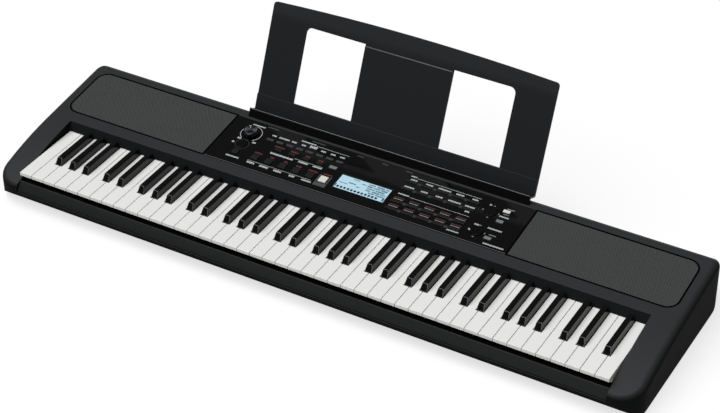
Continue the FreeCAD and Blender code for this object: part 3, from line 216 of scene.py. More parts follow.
paintedEdgeHighlight = addNode(tree, "ShaderNodeMath", {"operation": "MULTIPLY"},
                 {0: edgeHighlightShare.outputs["Result"], 1: atFront.outputs[0]})
# painted highlight: the rounded edges of the sloped front ends are painted pale
tone = addNode(tree, "ShaderNodeMix",
               {"data_type": "RGBA", 6: linear(blackLook["color"]), 7: linear(blackLook["paintedEdgeHighlight"])},
               {"Factor": paintedEdgeHighlight.outputs[0]})
tree.links.new(tone.outputs[2], shader.inputs["Base Color"])
for name in nodes:
    if name.startswith("white_key"):
        paint(whiteAbs, name)
    if name.startswith("black_key"):
        paint(blackAbs, name)
print("keys painted")

# grilles: punched steel under black powder coat, an even matt grey with dark holes in staggered rows; the
# real holes are finer, and these are drawn as coarse as they need to be to show. dish is the bump's height
grilleLook = {"color": "#474848", "hole": "#0e0e0e", "pitch": 2.6, "radius": 0.8, "rim": (0.04, 0.06),
              "dish": 0.6, "dishing": 0.5, "roughness": 0.6, "specular": 0.2}
grilleSteel, tree, shader = newFinish("powderCoatedSteel", grilleLook["color"], grilleLook["roughness"],
                                      grilleLook["specular"])
place = addNode(tree, "ShaderNodeTexCoord")
cells = addNode(tree, "ShaderNodeVectorMath", {"operation": "SCALE", "Scale": 1000 / grilleLook["pitch"]},
                {0: place.outputs["Object"]})
grid = addNode(tree, "ShaderNodeSeparateXYZ", {}, {0: cells.outputs[0]})
row = addNode(tree, "ShaderNodeMath", {"operation": "DIVIDE", 1: math.sqrt(3) / 2}, {0: grid.outputs["Y"]})
rowNumber = addNode(tree, "ShaderNodeMath", {"operation": "FLOOR"}, {0: row.outputs[0]})
stagger = addNode(tree, "ShaderNodeMath", {"operation": "MULTIPLY_ADD", 1: 0.5},
                  {0: rowNumber.outputs[0], 2: grid.outputs["X"]})
across = addNode(tree, "ShaderNodeMath", {"operation": "FRACT"}, {0: stagger.outputs[0]})
along = addNode(tree, "ShaderNodeMath", {"operation": "FRACT"}, {0: row.outputs[0]})
spot = addNode(tree, "ShaderNodeCombineXYZ", {}, {"X": across.outputs[0], "Y": along.outputs[0]})
away = addNode(tree, "ShaderNodeVectorMath", {"operation": "DISTANCE", 1: (0.5, 0.5, 0)},
               {0: spot.outputs[0]})
holeEdge = grilleLook["radius"] / grilleLook["pitch"]
steel = addNode(tree, "ShaderNodeMapRange", {"From Min": holeEdge - grilleLook["rim"][0],
                                             "From Max": holeEdge + grilleLook["rim"][1]},
                {"Value": away.outputs["Value"]})
tone = addNode(tree, "ShaderNodeMix",
               {"data_type": "RGBA", 6: linear(grilleLook["hole"]), 7: linear(grilleLook["color"])},
               {"Factor": steel.outputs["Result"]})
bump = addNode(tree, "ShaderNodeBump",
               {"Strength": grilleLook["dishing"], "Distance": grilleLook["dish"] * mm},
               {"Height": steel.outputs["Result"]})
tree.links.new(tone.outputs[2], shader.inputs["Base Color"])
tree.links.new(bump.outputs["Normal"], shader.inputs["Normal"])
paint(grilleSteel, "left_speaker_grille", "right_speaker_grille")
print("grilles painted")

# control panel: black acrylic, polished, so it mirrors the rest; faint wipe marks vary its gloss
panelLook = {"color": "#030304", "gloss": 0.07, "wiped": (0.05, 0.12), "wipe": 1000 / 60, "detail": 4.0,
             "edge": 0.6}
panelAcrylic, tree, shader = newFinish("polishedAcrylic", panelLook["color"], panelLook["gloss"])
place = addNode(tree, "ShaderNodeTexCoord")
haze = addNode(tree, "ShaderNodeTexNoise", {"Scale": 1000 / panelLook["wipe"], "Detail": panelLook["detail"]},
               {"Vector": place.outputs["Object"]})
smear = addNode(tree, "ShaderNodeMapRange",
                {"To Min": panelLook["wiped"][0], "To Max": panelLook["wiped"][1]},
                {"Value": haze.outputs["Fac"]})
edges = addNode(tree, "ShaderNodeBevel", {"samples": grainLook["samples"], "Radius": panelLook["edge"] * mm})
tree.links.new(smear.outputs["Result"], shader.inputs["Roughness"])
tree.links.new(edges.outputs["Normal"], shader.inputs["Normal"])
paint(panelAcrylic, "control_panel")
print("panel painted")

# button caps: ABS from a finely blasted tool, which gives a low satin sheen; the black ones are polished.
# Tints are colour and roughness
capLook = {"tints": {"black": ("#040405", 0.16), "nearBlack": ("#0f0f10", 0.42),
                     "dullGrey": ("#37393b", 0.42), "paleGrey": ("#717375", 0.42),
                     "milky": ("#d5d2cc", 0.42)},
           "specular": 0.35, "grain": (0.8, 0.06, 0.5), "farCap": 8.0}
capAbs = {}
for tint, (code, roughness) in capLook["tints"].items():
    capAbs[tint], tree, shader = newFinish(f"satinAbs_{tint}", code, roughness, capLook["specular"])
    mouldedGrain(tree, shader, *capLook["grain"])
paint(capAbs["black"], "power_button", "upper_cursor_button", "lower_cursor_button", "volume_knob")
paint(capAbs["nearBlack"], "demo_button", "song_buttons", "memory_buttons", "voice_buttons", "number_buttons")
paint(capAbs["dullGrey"], "style_buttons")
paint(capAbs["paleGrey"], "tap_button")
paint(capAbs["milky"], "start_stop_button")
# side buttons: the same ABS in two shots, the far cap milky and the two nearer ones pale grey
nearTint, nearRoughness = capLook["tints"]["paleGrey"]
farTint = capLook["tints"]["milky"][0]
twoShotAbs, tree, shader = newFinish("twoShotAbs", nearTint, nearRoughness, capLook["specular"])
place = mouldedGrain(tree, shader, *capLook["grain"])[0]
side = addNode(tree, "ShaderNodeSeparateXYZ", {}, {0: place.outputs["Object"]})
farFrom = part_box("side_buttons")[1][1] - capLook["farCap"] * mm
farOne = addNode(tree, "ShaderNodeMath", {"operation": "GREATER_THAN", 1: farFrom}, {0: side.outputs["Y"]})
tone = addNode(tree, "ShaderNodeMix", {"data_type": "RGBA", 6: linear(nearTint), 7: linear(farTint)},
               {"Factor": farOne.outputs[0]})
tree.links.new(tone.outputs[2], shader.inputs["Base Color"])
paint(twoShotAbs, "side_buttons")
print("buttons painted")

# display: a clear polycarbonate window, polished, over the cell; the field is pale blue inside a dark mask
# and glows a little as painted light. Its edges are x and v on the deck
cellLook = {"field": "#a6c6d4", "mask": "#0a141d", "left": -42.5, "right": 48.5, "near": 51.5, "far": 83.5,
            "paintedGlow": 0.22, "roughness": 0.14}
glowPaintedCell, tree, shader = newFinish("polycarbonateOverCell", cellLook["mask"], cellLook["roughness"])
place = addNode(tree, "ShaderNodeTexCoord")
side = addNode(tree, "ShaderNodeSeparateXYZ", {}, {0: place.outputs["Object"]})
up = addNode(tree, "ShaderNodeVectorMath",
             {"operation": "DOT_PRODUCT", 1: (0, math.cos(tilt), math.sin(tilt))},
             {0: place.outputs["Object"]})
deckFoot = deck["origin"][1] * math.cos(tilt) + deck["origin"][2] * math.sin(tilt)
middleX = (cellLook["left"] + cellLook["right"]) / 2 * mm
middleUp = (deckFoot + (cellLook["near"] + cellLook["far"]) / 2) * mm
halfX = (cellLook["right"] - cellLook["left"]) / 2 * mm
halfUp = (cellLook["far"] - cellLook["near"]) / 2 * mm
offX = addNode(tree, "ShaderNodeMath", {"operation": "SUBTRACT", 1: middleX}, {0: side.outputs["X"]})
offX = addNode(tree, "ShaderNodeMath", {"operation": "ABSOLUTE"}, {0: offX.outputs[0]})
insideX = addNode(tree, "ShaderNodeMath", {"operation": "LESS_THAN", 1: halfX}, {0: offX.outputs[0]})
offUp = addNode(tree, "ShaderNodeMath", {"operation": "SUBTRACT", 1: middleUp}, {0: up.outputs["Value"]})
offUp = addNode(tree, "ShaderNodeMath", {"operation": "ABSOLUTE"}, {0: offUp.outputs[0]})
insideUp = addNode(tree, "ShaderNodeMath", {"operation": "LESS_THAN", 1: halfUp}, {0: offUp.outputs[0]})
inField = addNode(tree, "ShaderNodeMath", {"operation": "MULTIPLY"},
              {0: insideX.outputs[0], 1: insideUp.outputs[0]})
tone = addNode(tree, "ShaderNodeMix",
               {"data_type": "RGBA", 6: linear(cellLook["mask"]), 7: linear(cellLook["field"])},
               {"Factor": inField.outputs[0]})
tree.links.new(tone.outputs[2], shader.inputs["Base Color"])
# painted light: the field also glows, in its own colour
tree.links.new(tone.outputs[2], shader.inputs["Emission Color"])
shader.inputs["Emission Strength"].default_value = cellLook["paintedGlow"]
paint(glowPaintedCell, "display_window")
print("display painted")

# pieces that hardly show: colour, roughness, specular level, metallic, grain, pieces
hiddenLook = {
    # rubber moulded in a blasted tool: dull, so the feet stay dark
    "mouldedRubber": ("#171717", 0.75, 0.3, 0.0, (1.2, 0.2, 0.6), ("rubber_feet", "contact_rubber")),
    # steel, zinc plated in a barrel: bright, a little clouded
    "zincPlatedSteel": ("#b9b8b2", 0.32, 0.5, 1.0, (0.6, 0.05, 0.3), ("case_screws", "battery_terminals")),
    # nylon moulded in a plain tool: black with an even, soft sheen
    "blackNylon": ("#101010", 0.5, 0.4, 0.0, (0.8, 0.08, 0.4),
                   ("rear_sockets", "power_inlet", "display_module", "left_speaker", "right_speaker")),
    # ABS moulded in an unpolished tool: nearly matt
    "darkGreyAbs": ("#121212", 0.6, 0.2, 0.0, (1.0, 0.1, 0.6), ("key_chassis",)),
    # wool, pressed to felt: its fibres leave no highlight
    "blackWoolFelt": ("#0c0c0c", 0.95, 0.1, 0.0, (0.5, 0.5, 0.4), ("key_stop_felt",)),
    # glass laminate under a poured solder mask: smooth green with a clear highlight
    "solderMaskedLaminate": ("#1d5a33", 0.4, 0.5, 0.0, (0.7, 0.05, 0.3),
                             ("key_contact_board", "panel_board", "main_board")),
}
for name, (code, roughness, specular, metallic, grain, pieces) in hiddenLook.items():
    finish, tree, shader = newFinish(name, code, roughness, specular, metallic)
    mouldedGrain(tree, shader, *grain)
    paint(finish, *pieces)
print("inside painted")

# inks: screen printed on the panel, matt against its gloss, with a little unevenness of the squeegee
inkLook = {"tints": {"white": "#b4b7b8", "pale": "#808385", "red": "#5a2b28", "grey": "#44484a",
                     "dark": "#2b2d2f", "segment": "#31566b", "bold": "#0b1620"},
           "roughness": 0.55, "specular": 0.3, "uneven": 1.5, "detail": 2.0, "matt": (0.45, 0.65)}
inks = {}
for tint, code in inkLook["tints"].items():
    inks[tint], tree, shader = newFinish(f"screenInk_{tint}", code, inkLook["roughness"], inkLook["specular"])
    place = addNode(tree, "ShaderNodeTexCoord")
    uneven = addNode(tree, "ShaderNodeTexNoise",
                     {"Scale": 1000 / inkLook["uneven"], "Detail": inkLook["detail"]},
                     {"Vector": place.outputs["Object"]})
    matt = addNode(tree, "ShaderNodeMapRange",
                   {"To Min": inkLook["matt"][0], "To Max": inkLook["matt"][1]},
                   {"Value": uneven.outputs["Fac"]})
    tree.links.new(matt.outputs["Result"], shader.inputs["Roughness"])

# marks: the ink film's thickness and gap over the panel, and the distances within which points are merged
markLook = {"film": 0.05, "gap": 0.01, "merge": 0.001, "fold": 0.01}
# small print: the widths of its blocks and the gap between them at a height of tall, their shares of the
# height, and the least room that still takes a block
wordLook = {"tall": 3, "widths": (1.5, 1.1, 1.8, 1.3, 1.0), "heights": (1.0, 0.8, 0.92), "gap": 0.3,
            "room": 0.6}


def selectOnly(piece):
    bpy.ops.object.select_all(action="DESELECT")
    piece.select_set(True)
    bpy.context.view_layer.objects.active = piece


def easeEdges(piece, width, angle=30):
    # rounds the active piece's edges that turn by more than angle degrees, width in millimetres
    ease = piece.modifiers.new("ease", "BEVEL")
    ease.width = width * mm
    ease.segments = 2
    ease.limit_method = "ANGLE"
    ease.angle_limit = math.radians(angle)
    bpy.ops.object.modifier_apply(modifier="ease")


def thicken(piece, depth):
    # makes a flat active piece a closed sheet, depth in millimetres
    sheet = piece.modifiers.new("sheet", "SOLIDIFY")
    sheet.thickness = depth * mm
    sheet.offset = 1
    bpy.ops.object.modifier_apply(modifier="sheet")


def beginMarks(name):
    # an empty mesh in edit mode, which flat marks are added to
    bpy.ops.object.select_all(action="DESELECT")
    bpy.ops.mesh.primitive_plane_add(size=mm)
    marks = bpy.context.object
    marks.name = name
    marks.data.name = name
    bpy.ops.object.mode_set(mode="EDIT")
    bpy.ops.mesh.select_all(action="SELECT")
    bpy.ops.mesh.delete(type="VERT")
    return marks


def addBlock(x, v, width, height):
    middle = (x * mm, v * mm, 0)
    bpy.ops.mesh.primitive_plane_add(size=mm, location=middle)
    bpy.ops.transform.resize(value=(width, height, 1), center_override=middle)


def addWord(x, v, width, height):
    # a run of blocks with the rhythm of small print, none of them a letter
    widths = wordLook["widths"]
    heights = wordLook["heights"]
    spot = x - width / 2
    step = 0
    while spot < x + width / 2 - wordLook["room"]:
        wide = min(widths[step % len(widths)] * height / wordLook["tall"], x + width / 2 - spot)
        addBlock(spot + wide / 2, v, wide, height * heights[step % len(heights)])
        spot += wide + wordLook["gap"] * height / wordLook["tall"]
        step += 1


def addArc(x, v, radius, width, sweep, steps):
    # a band spun both ways from its top, sweep degrees each way
    top = (x * mm, (v + radius) * mm, 0)
    for way in (1, -1):
        bpy.ops.mesh.primitive_plane_add(size=mm, location=top)
        bpy.ops.transform.resize(value=(0, width, 1), center_override=top)
        bpy.ops.mesh.remove_doubles(threshold=markLook["fold"] * mm)
        bpy.ops.mesh.spin(steps=steps, angle=way * math.radians(sweep), center=(x * mm, v * mm, 0),
                          axis=(0, 0, 1))


def layOnDeck(piece, lift):
    # turns a flat piece to the deck's tilt, lift millimetres above the panel, with its place kept in its mesh
    selectOnly(piece)
    piece.rotation_euler = (tilt, 0, 0)
    piece.location = (deck["origin"][0] * mm, (deck["origin"][1] - lift * math.sin(tilt)) * mm,
                      (deck["origin"][2] + lift * math.cos(tilt)) * mm)
    bpy.ops.object.transform_apply(location=True, rotation=True, scale=True)


def finishMarks(marks, lift, body, finish):
    # the ink film: a thin closed layer of all the marks of one colour
    bpy.ops.mesh.select_all(action="SELECT")
    bpy.ops.mesh.remove_doubles(threshold=markLook["merge"] * mm)
    bpy.ops.mesh.normals_make_consistent(inside=False)
    bpy.ops.object.mode_set(mode="OBJECT")
    thicken(marks, markLook["film"])
    layOnDeck(marks, lift)
    marks.data.materials.clear()
    marks.data.materials.append(finish)
    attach(marks, body)


def printMarks(name, lists, finish):
    marks = beginMarks(name)
    for word in lists.get("words", []):
        addWord(*word)
    for start, end, v, height in lists.get("rules", []):
        addBlock((start + end) / 2, v, end - start, height)
    for block in lists.get("blocks", []):
        addBlock(*block)
    for arc in lists.get("arcs", []):
        addArc(*arc)
    finishMarks(marks, markLook["gap"], "case", finish)


# printing left and right of the display: words (x, v, width, height), rules (from x, to x, v, height) and
# arcs round the knob and the power button (x, v, radius, width, sweep each way, steps)
voiceColumns = (68, 95.8, 123.6, 151.4, 179.2)
betweenVoices = (81.9, 109.7, 137.5, 165.3)
panelPrint = {
    "white": {
        "words": [(-230, 130.2, 24, 3), (-245, 90, 6, 4), (-216, 89.6, 6, 4), (-249.5, 78, 4, 4),
                  (-231, 45, 24, 3.4), (-193.5, 119.2, 8, 3.4), (-174.5, 119.2, 20, 3.4),
                  (-155.5, 119.2, 9, 3.6), (-137, 119.2, 8, 3.4), (-119.2, 121.4, 14, 6),
                  (-99.5, 119.2, 9, 3.4), (-81, 119.2, 9, 3.4), (-63.5, 119.2, 9, 3.4), (-132, 128, 28, 3),
                  (-156.5, 79.6, 43, 4), (-115.5, 80.4, 18, 4), (-88.7, 80.4, 17, 3.6),
                  (-194.7, 44.2, 14, 4.4), (-169.6, 44.2, 16, 4.4), (-143, 44.2, 15, 4.4),
                  (-116, 44.2, 10, 4.4), (-88.8, 44.2, 18, 3.6), (65.5, 127.8, 10, 3), (69, 120.4, 12, 3.2),
                  (97.4, 120.4, 12, 3.2), (124.6, 120.4, 22, 3.2), (152.5, 120.4, 14, 3.2),
                  (179.8, 120.4, 11, 3.2), (70.6, 101.8, 18, 3.2), (97.5, 101.8, 12, 3.2),
                  (124.2, 101.8, 12, 3.2), (151.6, 101.8, 22, 3.2), (179.1, 101.8, 17, 3.2),
                  (180, 90, 8, 3.2), (70.7, 82.4, 20, 3), (180, 40, 21, 2.6), (207, 120.6, 4, 3.6),
                  (207.7, 70.2, 9, 3.2), (205.5, 55.6, 10, 3.2), (238.8, 103, 17, 3), (238.8, 71, 25, 3),
                  (252.6, 36.6, 36, 3)],
        "rules": [(-117, -55, 126.4, 0.7), (-135, -80, 83.6, 0.6), (-203, -82, 48.6, 0.6),
                  (72, 188, 126.2, 0.7), (82, 188, 80.8, 0.6)],
        "arcs": [(-232.6, 108.2, 18.4, 1.0, 146, 28)],
    },
    "pale": {
        "words": [(x, v, 17, 1.8) for v in (69.2, 51.2) for x in voiceColumns]
                 + [(241, 122.8, 13, 2.6), (238.8, 109.4, 9, 1.8), (241, 57.6, 12, 2),
                    (214, 120.2, 3, 2), (214, 92.2, 3, 2), (200, 106.2, 2, 3), (228, 106.2, 2, 3),
                    (214, 70.9, 3, 2), (214, 42.9, 3, 2), (200, 56.9, 2, 3), (228, 56.9, 2, 3)],
    },
    "red": {
        "words": [(-170, 97.4, 18, 4), (-141.5, 97.2, 14, 4), (-116, 97, 9, 4), (-91, 96.8, 10, 4),
                  (-194.6, 70, 14, 4), (-168, 69.6, 7, 4), (-142, 69.6, 7, 4), (-117, 69.6, 10, 4),
                  (-90, 69.6, 17, 4), (-63.4, 72, 15, 3.6)]
                 + [(x, v, 18, 2.2) for v in (73.2, 55.2) for x in voiceColumns],
    },
    "grey": {
        "words": [(-205, 134.4, 21, 2.2), (-117, 134.4, 25, 2.2), (-38, 134.4, 12, 2.2), (8, 134.4, 12, 2.2),
                  (53, 134.4, 12, 2.2)],
        "rules": [(-76, -54, 46, 8.4), (-76, -73.6, 60, 18), (-56.4, -54, 60, 18)],
    },
    "dark": {
        "rules": [(x - 3.4, x + 3.4, v, 5.4) for v in (114.2, 96.1, 62.9, 44.8) for x in betweenVoices],
        "arcs": [(-232.6, 79.0, 11.6, 0.9, 180, 28)],
    },
}
for tint, lists in panelPrint.items():
    printMarks(f"panel_print_{tint}", lists, inks[tint])
print("panel printed")

# display: a bold row of small keys along the bottom, fine print above it and most of it on the right
cellPrint = {
    "segment": {
        "words": [(15, 80, 12, 2.6), (31, 80, 14, 3.2), (43, 80, 6, 2.6), (13, 75.4, 9, 3.4),
                  (26, 75.4, 12, 2.6), (39, 75.4, 11, 3.4), (17, 70.6, 14, 2.4), (34, 70.6, 16, 3.2),
                  (14, 66, 8, 3.0), (28, 66, 13, 3.2), (41, 66, 9, 2.4), (22, 61.6, 11, 2.6),
                  (37, 61.6, 14, 2.6), (-14, 80.6, 12, 1.6), (2, 76.4, 8, 2), (-32, 66.4, 14, 1.4)],
        "blocks": [(46, 57.5, 3, 8)],
    },
    "bold": {
        "words": [(-17, 70.6, 13, 2.2), (-5, 66.4, 6, 1.8)],
        "blocks": [(-36.4 + 6.4 * i, 55.9, 4.0, 4.4) for i in range(12)] + [(-41.2, 57.4, 1.6, 7.4)],
    },
}
for tint, lists in cellPrint.items():
    printMarks(f"display_print_{tint}", lists, inks[tint])
print("display drawn")

# knob cap: turned aluminium, black anodised; the turning stretches the highlight into a wedge
capShape = {"x": -232.6, "v": 108.2, "radius": 11.2, "depth": 0.5, "top": 8.6, "chamfer": 0.3, "sides": 64,
            "color": "#5c5d5f", "roughness": 0.3, "turning": 0.9}
turned, tree, shader = newFinish("turnedBlackAluminium", capShape["color"], capShape["roughness"],
                                 metallic=1.0)
shader.inputs["Anisotropic"].default_value = capShape["turning"]
ringsAround = addNode(tree, "ShaderNodeTangent", {"direction_type": "RADIAL", "axis": "Z"})
tree.links.new(ringsAround.outputs[0], shader.inputs["Tangent"])
bpy.ops.object.select_all(action="DESELECT")
bpy.ops.mesh.primitive_cylinder_add(vertices=capShape["sides"], radius=capShape["radius"] * mm,
                                    depth=capShape["depth"] * mm,
                                    location=(capShape["x"] * mm, capShape["v"] * mm,
                                              capShape["depth"] / 2 * mm))
knobCap = bpy.context.object
knobCap.name = "knob_cap"
bpy.ops.object.transform_apply(location=True, rotation=True, scale=True)
easeEdges(knobCap, capShape["chamfer"])
layOnDeck(knobCap, capShape["top"])
knobCap.data.materials.append(turned)
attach(knobCap, "volume_knob")
print("knob capped")

# pointer: a pale wedge on the cap, from its middle to its rim: the knob's pointer print, and painted
# highlight for the turned cap's wedge of light. A triangle of radius 1 is the root of 3 wide and one and a
# half high
pointer = {"x": -232.6, "v": 108.2, "reach": 10.6, "width": 3.6, "top": 9.1, "turn": 36.0}
wedge = beginMarks("knob_pointer_highlight")
tip = (pointer["x"] * mm, pointer["v"] * mm, 0)
tall = pointer["reach"] / 1.5
bpy.ops.mesh.primitive_circle_add(vertices=3, radius=mm, fill_type="NGON", location=tip)
bpy.ops.transform.resize(value=(pointer["width"] / math.sqrt(3), tall, 1), center_override=tip)
bpy.ops.transform.rotate(value=math.pi, orient_axis="Z", center_override=tip)
bpy.ops.transform.translate(value=(0, tall * mm, 0))
bpy.ops.transform.rotate(value=-math.radians(pointer["turn"]), orient_axis="Z", center_override=tip)
finishMarks(wedge, pointer["top"], "volume_knob", inks["pale"])
print("pointer laid")

# beads: the rounded edges of the shelf's lip and of the centre panel, as rods painted pale grey, painted
# highlight where they catch the light. Each run is its length, its place behind the plate's front and its
# height up it
beadLook = {"radius": 0.9, "sides": 16, "ends": 0.3, "endAngle": 60, "smooth": 40, "color": "#57585a",
            "roughness": 0.35, "specular": 0.4, "grain": (0.9, 0.05, 0.2),
            "runs": [(519.0, -18.5, 1.5), (519.0, -15.4, -0.3), (159.0, -0.4, 154.3)]}
beadHighlightAbs, tree, shader = newFinish("beadHighlightAbs", beadLook["color"], beadLook["roughness"], beadLook["specular"])
mouldedGrain(tree, shader, *beadLook["grain"])
for i, (length, behind, rise) in enumerate(beadLook["runs"]):
    bpy.ops.object.select_all(action="DESELECT")
    middle = (0, (restLean["origin"][1] + behind * math.cos(lean) + rise * math.sin(lean)) * mm,
              (restLean["origin"][2] - behind * math.sin(lean) + rise * math.cos(lean)) * mm)
    bpy.ops.mesh.primitive_cylinder_add(vertices=beadLook["sides"], radius=beadLook["radius"] * mm,
                                        depth=length * mm, location=middle, rotation=(0, math.pi / 2, 0))
    bead = bpy.context.object
    bead.name = f"rest_bead_{i + 1}"
    bead.data.name = bead.name
    bpy.ops.object.transform_apply(location=True, rotation=True, scale=True)
    easeEdges(bead, beadLook["ends"], beadLook["endAngle"])
    bpy.ops.object.shade_smooth_by_angle(angle=math.radians(beadLook["smooth"]))
    bead.data.materials.append(beadHighlightAbs)
    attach(bead, "music_rest")
print("beads laid")

# jack nuts: brass rings, turned and nickel plated, which glint on the sockets at the rear; modelled once and
# copied. Each socket is its place across the rear
nutLook = {"radius": 5.4, "width": 1.9, "depth": 0.9, "edge": 0.25, "height": 18.0, "sides": 40, "smooth": 40,
           "color": "#b7b3aa", "roughness": 0.28, "grain": (0.4, 0.04, 0.15),
           "sockets": {"headphone": -200.0, "pedal": -170.0}}
nickel, tree, shader = newFinish("nickelPlatedBrass", nutLook["color"], nutLook["roughness"], metallic=1.0)
mouldedGrain(tree, shader, *nutLook["grain"])
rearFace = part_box("rear_sockets")[1][1]
bpy.ops.object.select_all(action="DESELECT")
bpy.ops.mesh.primitive_circle_add(vertices=nutLook["sides"], radius=nutLook["radius"] * mm, fill_type="NGON")
nut = bpy.context.object
bpy.ops.object.mode_set(mode="EDIT")
bpy.ops.mesh.select_all(action="SELECT")
bpy.ops.mesh.inset(thickness=nutLook["width"] * mm)
bpy.ops.mesh.delete(type="FACE")
bpy.ops.object.mode_set(mode="OBJECT")
thicken(nut, nutLook["depth"])
easeEdges(nut, nutLook["edge"])
bpy.ops.object.shade_smooth_by_angle(angle=math.radians(nutLook["smooth"]))
nut.data.materials.append(nickel)
ring = nut.data.copy()
for i, (name, x) in enumerate(nutLook["sockets"].items()):
    if i:
        nut = bpy.data.objects.new(name, ring.copy())
        bpy.context.scene.collection.objects.link(nut)
        selectOnly(nut)
    nut.name = f"{name}_jack_nut"
    nut.data.name = nut.name
    nut.rotation_euler = (-math.pi / 2, 0, 0)
    nut.location = (x * mm, rearFace, nutLook["height"] * mm)
    bpy.ops.object.transform_apply(location=True, rotation=True, scale=True)
    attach(nut, "case")
print("jack nuts laid")

# round the grilles: a thin near-black sheet laid on the deck, painted shade standing for the dark groove
# between grille and deck
grooveShadeLook = {"inner": 276.9, "outer": 558.2, "near": 27.3, "far": 141.7, "corner": 22.0, "cornerSteps": 10,
              "width": 3.2, "lift": 0.02, "color": "#050505", "roughness": 0.9, "grain": (0.6, 0.2, 0.2)}
grooveShadeFinish, tree, shader = newFinish("paintedGrooveShade", grooveShadeLook["color"], grooveShadeLook["roughness"], 0.0)
mouldedGrain(tree, shader, *grooveShadeLook["grain"])
for name, side in (("left", -1), ("right", 1)):
    bpy.ops.object.select_all(action="DESELECT")
    wide = grooveShadeLook["outer"] - grooveShadeLook["inner"]
    deep = grooveShadeLook["far"] - grooveShadeLook["near"]
    middle = (side * (grooveShadeLook["outer"] + grooveShadeLook["inner"]) / 2 * mm,
              (grooveShadeLook["near"] + grooveShadeLook["far"]) / 2 * mm, 0)
    bpy.ops.mesh.primitive_plane_add(size=mm, location=middle)
    grooveShadeSheet = bpy.context.object
    grooveShadeSheet.name = f"{name}_grille_groove_shade"
    grooveShadeSheet.data.name = grooveShadeSheet.name
    grooveShadeSheet.scale = (wide, deep, 1)
    bpy.ops.object.transform_apply(location=True, rotation=True, scale=True)
    # only the two outer corners are round
    bpy.ops.object.mode_set(mode="EDIT")
    bpy.ops.mesh.select_all(action="DESELECT")
    bpy.ops.object.mode_set(mode="OBJECT")
    for corner in grooveShadeSheet.data.vertices:
        corner.select = corner.co.x * side > middle[0] * side
    bpy.ops.object.mode_set(mode="EDIT")
    bpy.ops.mesh.bevel(offset=grooveShadeLook["corner"] * mm, segments=grooveShadeLook["cornerSteps"],
                       affect="VERTICES")
    bpy.ops.mesh.select_all(action="SELECT")
    bpy.ops.mesh.inset(thickness=grooveShadeLook["width"] * mm)
    bpy.ops.mesh.delete(type="FACE")
    finishMarks(grooveShadeSheet, grooveShadeLook["lift"], "case", grooveShadeFinish)
print("gaskets laid")

# mouldings: distance within which points are merged, and the angles past which edges are eased or stay sharp
mouldLook = {"merge": 0.002, "easeAngle": 40, "sharpAngle": 28, "restEdge": 0.7}


def smoothCopy(name, body, edge=0.0):
    # a copy of a moulding with its points merged, its edges eased and its curves shaded without facets
    piece = bpy.data.objects.new(f"{name}_moulding", nodes[name].data.copy())
    piece.data.name = piece.name
    bpy.context.scene.collection.objects.link(piece)
    piece.matrix_world = nodes[name].matrix_world
    selectOnly(piece)
    bpy.ops.object.transform_apply(location=True, rotation=True, scale=True)
    bpy.ops.mesh.customdata_custom_splitnormals_clear()
    bpy.ops.object.mode_set(mode="EDIT")
    bpy.ops.mesh.select_all(action="SELECT")
    bpy.ops.mesh.remove_doubles(threshold=mouldLook["merge"] * mm)
    bpy.ops.object.mode_set(mode="OBJECT")
    if edge:
        easeEdges(piece, edge, mouldLook["easeAngle"])
    bpy.ops.object.shade_smooth_by_angle(angle=math.radians(mouldLook["sharpAngle"]))
    weigh = piece.modifiers.new("weigh", "WEIGHTED_NORMAL")
    weigh.keep_sharp = True
    bpy.ops.object.modifier_apply(modifier="weigh")
    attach(piece, body)
    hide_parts(name)


for name in ("upper_case", "lower_case", "key_slip"):
    smoothCopy(name, "case")
smoothCopy("music_rest", "music_rest", mouldLook["restEdge"])
for name in ("volume_knob", "power_button", "upper_cursor_button", "lower_cursor_button"):
    smoothCopy(name, name)
print("mouldings smoothed")

# studio: white floor, one wide soft key from above the front left, dim surroundings, and the camera as in the
# photograph. faint is the share of the floor's white that is its own
studio = {"floor": "#ffffff", "floorSize": 40, "bounce": "#b4b4b4", "dull": 0.9, "faint": 0.7, "world": 0.1,
          "key": 3.15, "keyFrom": (-0.24, -0.32, 0.92), "keyAngle": 64,
          "camera": (1.313249, -2.249563, 1.968182), "turn": (0.939437, 0.007485, 0.519488),
          "lens": 100.5855, "sensor": 36}
bpy.ops.object.select_all(action="DESELECT")
bpy.ops.mesh.primitive_plane_add(size=studio["floorSize"])
floor = bpy.context.object
floor.name = "studio_floor"
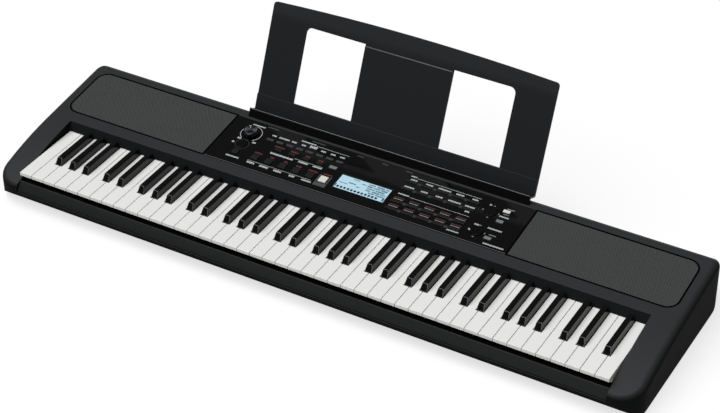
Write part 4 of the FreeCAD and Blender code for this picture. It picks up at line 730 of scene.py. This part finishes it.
# paper sweep: uncoated and matt, white to the camera and in mirrors, duller in the light that it throws back
sweepPaper, tree, shader = newFinish("whitePaperSweep", studio["floor"], studio["dull"], 0.0)
path = addNode(tree, "ShaderNodeLightPath")
seen = addNode(tree, "ShaderNodeMath", {"operation": "MAXIMUM"},
               {0: path.outputs["Is Camera Ray"], 1: path.outputs["Is Glossy Ray"]})
seen = addNode(tree, "ShaderNodeMath", {"operation": "MAXIMUM"},
               {0: seen.outputs[0], 1: path.outputs["Is Transmission Ray"]})
tone = addNode(tree, "ShaderNodeMix",
               {"data_type": "RGBA", 6: linear(studio["bounce"]), 7: linear(studio["floor"])},
               {"Factor": seen.outputs[0]})
tree.links.new(tone.outputs[2], shader.inputs["Base Color"])
# part of the white is the paper's own, so that the shadow stays but is nearly as faint as in the photograph
whiteness = addNode(tree, "ShaderNodeMath", {"operation": "MULTIPLY", 1: studio["faint"]},
                    {0: seen.outputs[0]})
paper = addNode(tree, "ShaderNodeEmission", {"Color": linear(studio["floor"]), "Strength": 1.0})
sheet = addNode(tree, "ShaderNodeMixShader", {},
                {0: whiteness.outputs[0], 1: shader.outputs[0], 2: paper.outputs[0]})
tree.links.new(sheet.outputs[0], tree.nodes["Material Output"].inputs["Surface"])
floor.data.materials.append(sweepPaper)

world = bpy.data.worlds.new("studio")
bpy.context.scene.world = world
world.use_nodes = True
background = world.node_tree.nodes["Background"]
background.inputs["Color"].default_value = (1, 1, 1, 1)
background.inputs["Strength"].default_value = studio["world"]

key = bpy.data.lights.new("key", "SUN")
key.energy = studio["key"]
key.angle = math.radians(studio["keyAngle"])
keyHolder = bpy.data.objects.new("key", key)
bpy.context.scene.collection.objects.link(keyHolder)
east, north, high = studio["keyFrom"]
keyHolder.rotation_euler = (math.atan2(math.hypot(east, north), high), 0, math.atan2(east, -north))

camera = bpy.data.cameras.new("camera")
camera.lens = studio["lens"]
camera.sensor_width = studio["sensor"]
cameraHolder = bpy.data.objects.new("camera", camera)
bpy.context.scene.collection.objects.link(cameraHolder)
cameraHolder.location = studio["camera"]
cameraHolder.rotation_euler = studio["turn"]
bpy.context.scene.camera = cameraHolder
bpy.context.scene.view_settings.view_transform = "Standard"
print("studio set")
